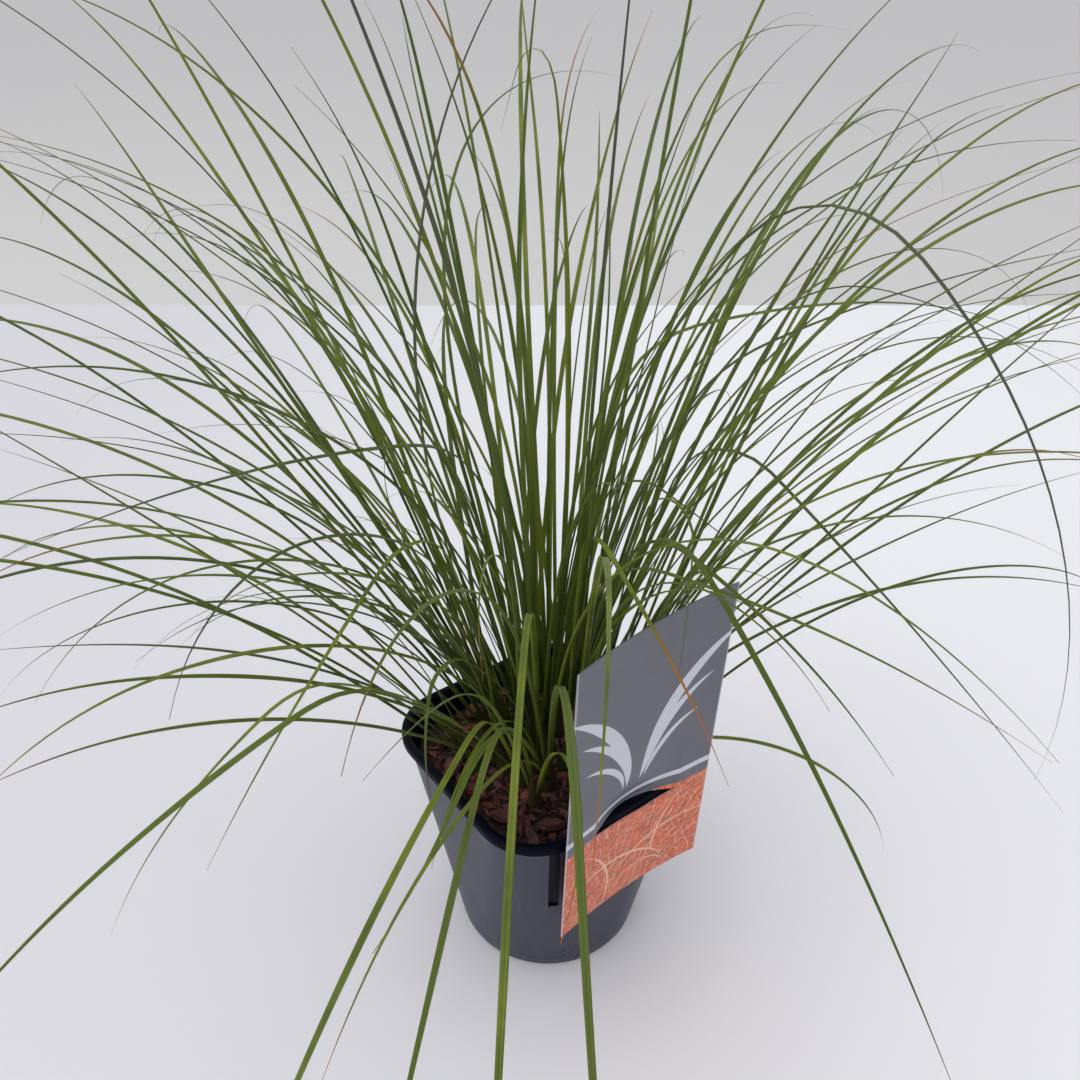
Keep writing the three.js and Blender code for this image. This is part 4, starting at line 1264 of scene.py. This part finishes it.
# How far a spot on the card lies inside a pale curved stroke, 0 to 1. The stroke follows a circle
# from start to end (degrees) and is widest in its middle.
def stroke(u, v, centre, radius, start, end, wide):
    x, y = calc("SUBTRACT", u, centre[0]), calc("SUBTRACT", v, centre[1])
    reach = calc("SQRT", calc("ADD", times(x, x), times(y, y)))
    angle = calc("SUBTRACT", calc("ARCTAN2", y, x), start * degrees)
    along = calc("DIVIDE", angle, (end - start) * degrees)
    room = times(times(along, rest(along)), 4 * wide)
    return eased(calc("SUBTRACT", room, calc("ABSOLUTE", calc("SUBTRACT", reach, radius))), 0.0, 0.3)


# Fine strands that fan out from a centre, with gaps
def hairs(flat, centre, count, bow, thin):
    sockets = {0: flat, 1: (-centre[0], -centre[1], 0)}
    off = put("ShaderNodeVectorMath", sockets, operation="ADD").outputs[0]
    angle = calc("ARCTAN2", part(off, "Y"), part(off, "X"))
    sway = times(noisy(off, 0.04, 1.0), bow)
    crest = calc("ABSOLUTE", calc("SINE", calc("MULTIPLY_ADD", angle, count, sway)))
    return times(eased(crest, 1 - thin, 1.0), eased(noisy(off, 0.13, 2.0), 0.44, 0.52))


def cardMaterial():
    material = newMaterial("PrintedCard")
    uv = put("ShaderNodeUVMap", uv_map="OFBake").outputs[0]
    u = times(calc("SUBTRACT", part(uv, "X"), 0.5), card["width"])
    v = calc("MULTIPLY_ADD", part(uv, "Y"), card["above"] + card["below"], -card["below"])
    flat = put("ShaderNodeCombineXYZ", {0: u, 1: v}).outputs[0]

    def above(level, soft):
        return eased(v, level - soft, level + soft)

    ember = mixed(eased(noisy(flat, 0.08), 0.36, 0.62), (196, 84, 60), (212, 92, 40))
    for turn, scale, *look in labelFinish["streaks"]:
        slanted = stretched(stretched(flat, turn=turn * degrees), (0.22, 1, 1))
        ember = laid(ember, eased(noisy(slanted, scale), 0.52, 0.64), *look)
    for *strands, tone, share in labelFinish["hairs"]:
        ember = laid(ember, hairs(flat, *strands), tone, share)
    for arc in labelFinish["arcs"]:
        ember = laid(ember, stroke(u, v, *arc), (244, 196, 168), 0.75)
    pale = labelFinish["pale"]
    grey = mixed(noisy(flat, 0.05, 2.0), (84, 85, 95), (98, 99, 109))
    for each in labelFinish["strokes"]:
        grey = laid(grey, stroke(u, v, *each), pale)
    low, high = labelFinish["stripe"]
    inStripe = times(above(low, 0.15), rest(above(high, 0.15)))
    # a pale border along the card's sides: the clear plastic's own edge, with a painted highlight on it
    edge = eased(calc("ABSOLUTE", u), card["width"] / 2 - 0.7, card["width"] / 2 - 0.4)
    tone = laid(mixed(above(labelFinish["emberTop"], 0.3), ember, grey), inStripe, pale)
    return dressed(material, laid(tone, edge, pale, 0.45), 0.36, (noisy(flat, 0.6, 2.0), 0.05 * mm, 0.3))


def makeLabel(material):
    columns, rows = labelFinish["columns"], labelFinish["rows"]
    width, tall = card["width"], card["above"] + card["below"]
    spots = [(c / columns, r / rows) for r in range(rows + 1) for c in range(columns + 1)]
    points = []
    for skin in (card["thick"] / 2, -card["thick"] / 2):
        points += [labelPoint((x - 0.5) * width, -card["below"] + y * tall, skin) * mm for x, y in spots]
    across, back = columns + 1, len(spots)
    faces, sides = [], []
    for r in range(rows):
        for c in range(columns):
            a = r * across + c
            faces.append((a, a + 1, a + across + 1, a + across))
            faces.append((back + a, back + a + across, back + a + across + 1, back + a + 1))
    for r in range(rows):
        sides += [(r * across, across, 1), (r * across + columns, across, -1)]
    for c in range(columns):
        sides += [(c, 1, -1), (rows * across + c, 1, 1)]
    faces += [(a, a + step, back + a + step, back + a)[::turn] for a, step, turn in sides]
    piece = addMesh("PlantLabel", points, faces)
    layer = piece.data.uv_layers.new(name="OFBake")
    loops = np.zeros(len(piece.data.loops), int)
    piece.data.loops.foreach_get("vertex_index", loops)
    layer.uv.foreach_set("vector", np.array(spots * 2, np.float32)[loops].ravel())
    rides(cutOut(piece, [slitTool()], material, labelFinish["sharpFrom"]), "label_card", "plant_label")


# The lens-shaped opening that the rim passes through
def slitTool():
    steps, deep = 28, 15
    outline = []
    for start, end, high in ((-1, 1, slit["above"]), (1, -1, -slit["below"])):
        for i in range(steps):
            t = i / steps
            outline.append((slit["half"] * (start + (end - start) * t), 4 * high * t * (1 - t)))
    rings = []
    for n in (card["out"] - deep, card["out"] + deep):
        rings.append([cardPlace(s, n, h) * mm for s, h in outline[::-1]])
    return addMesh("SlitTool", *skinOver(rings))


makeLabel(cardMaterial())
print("label made")
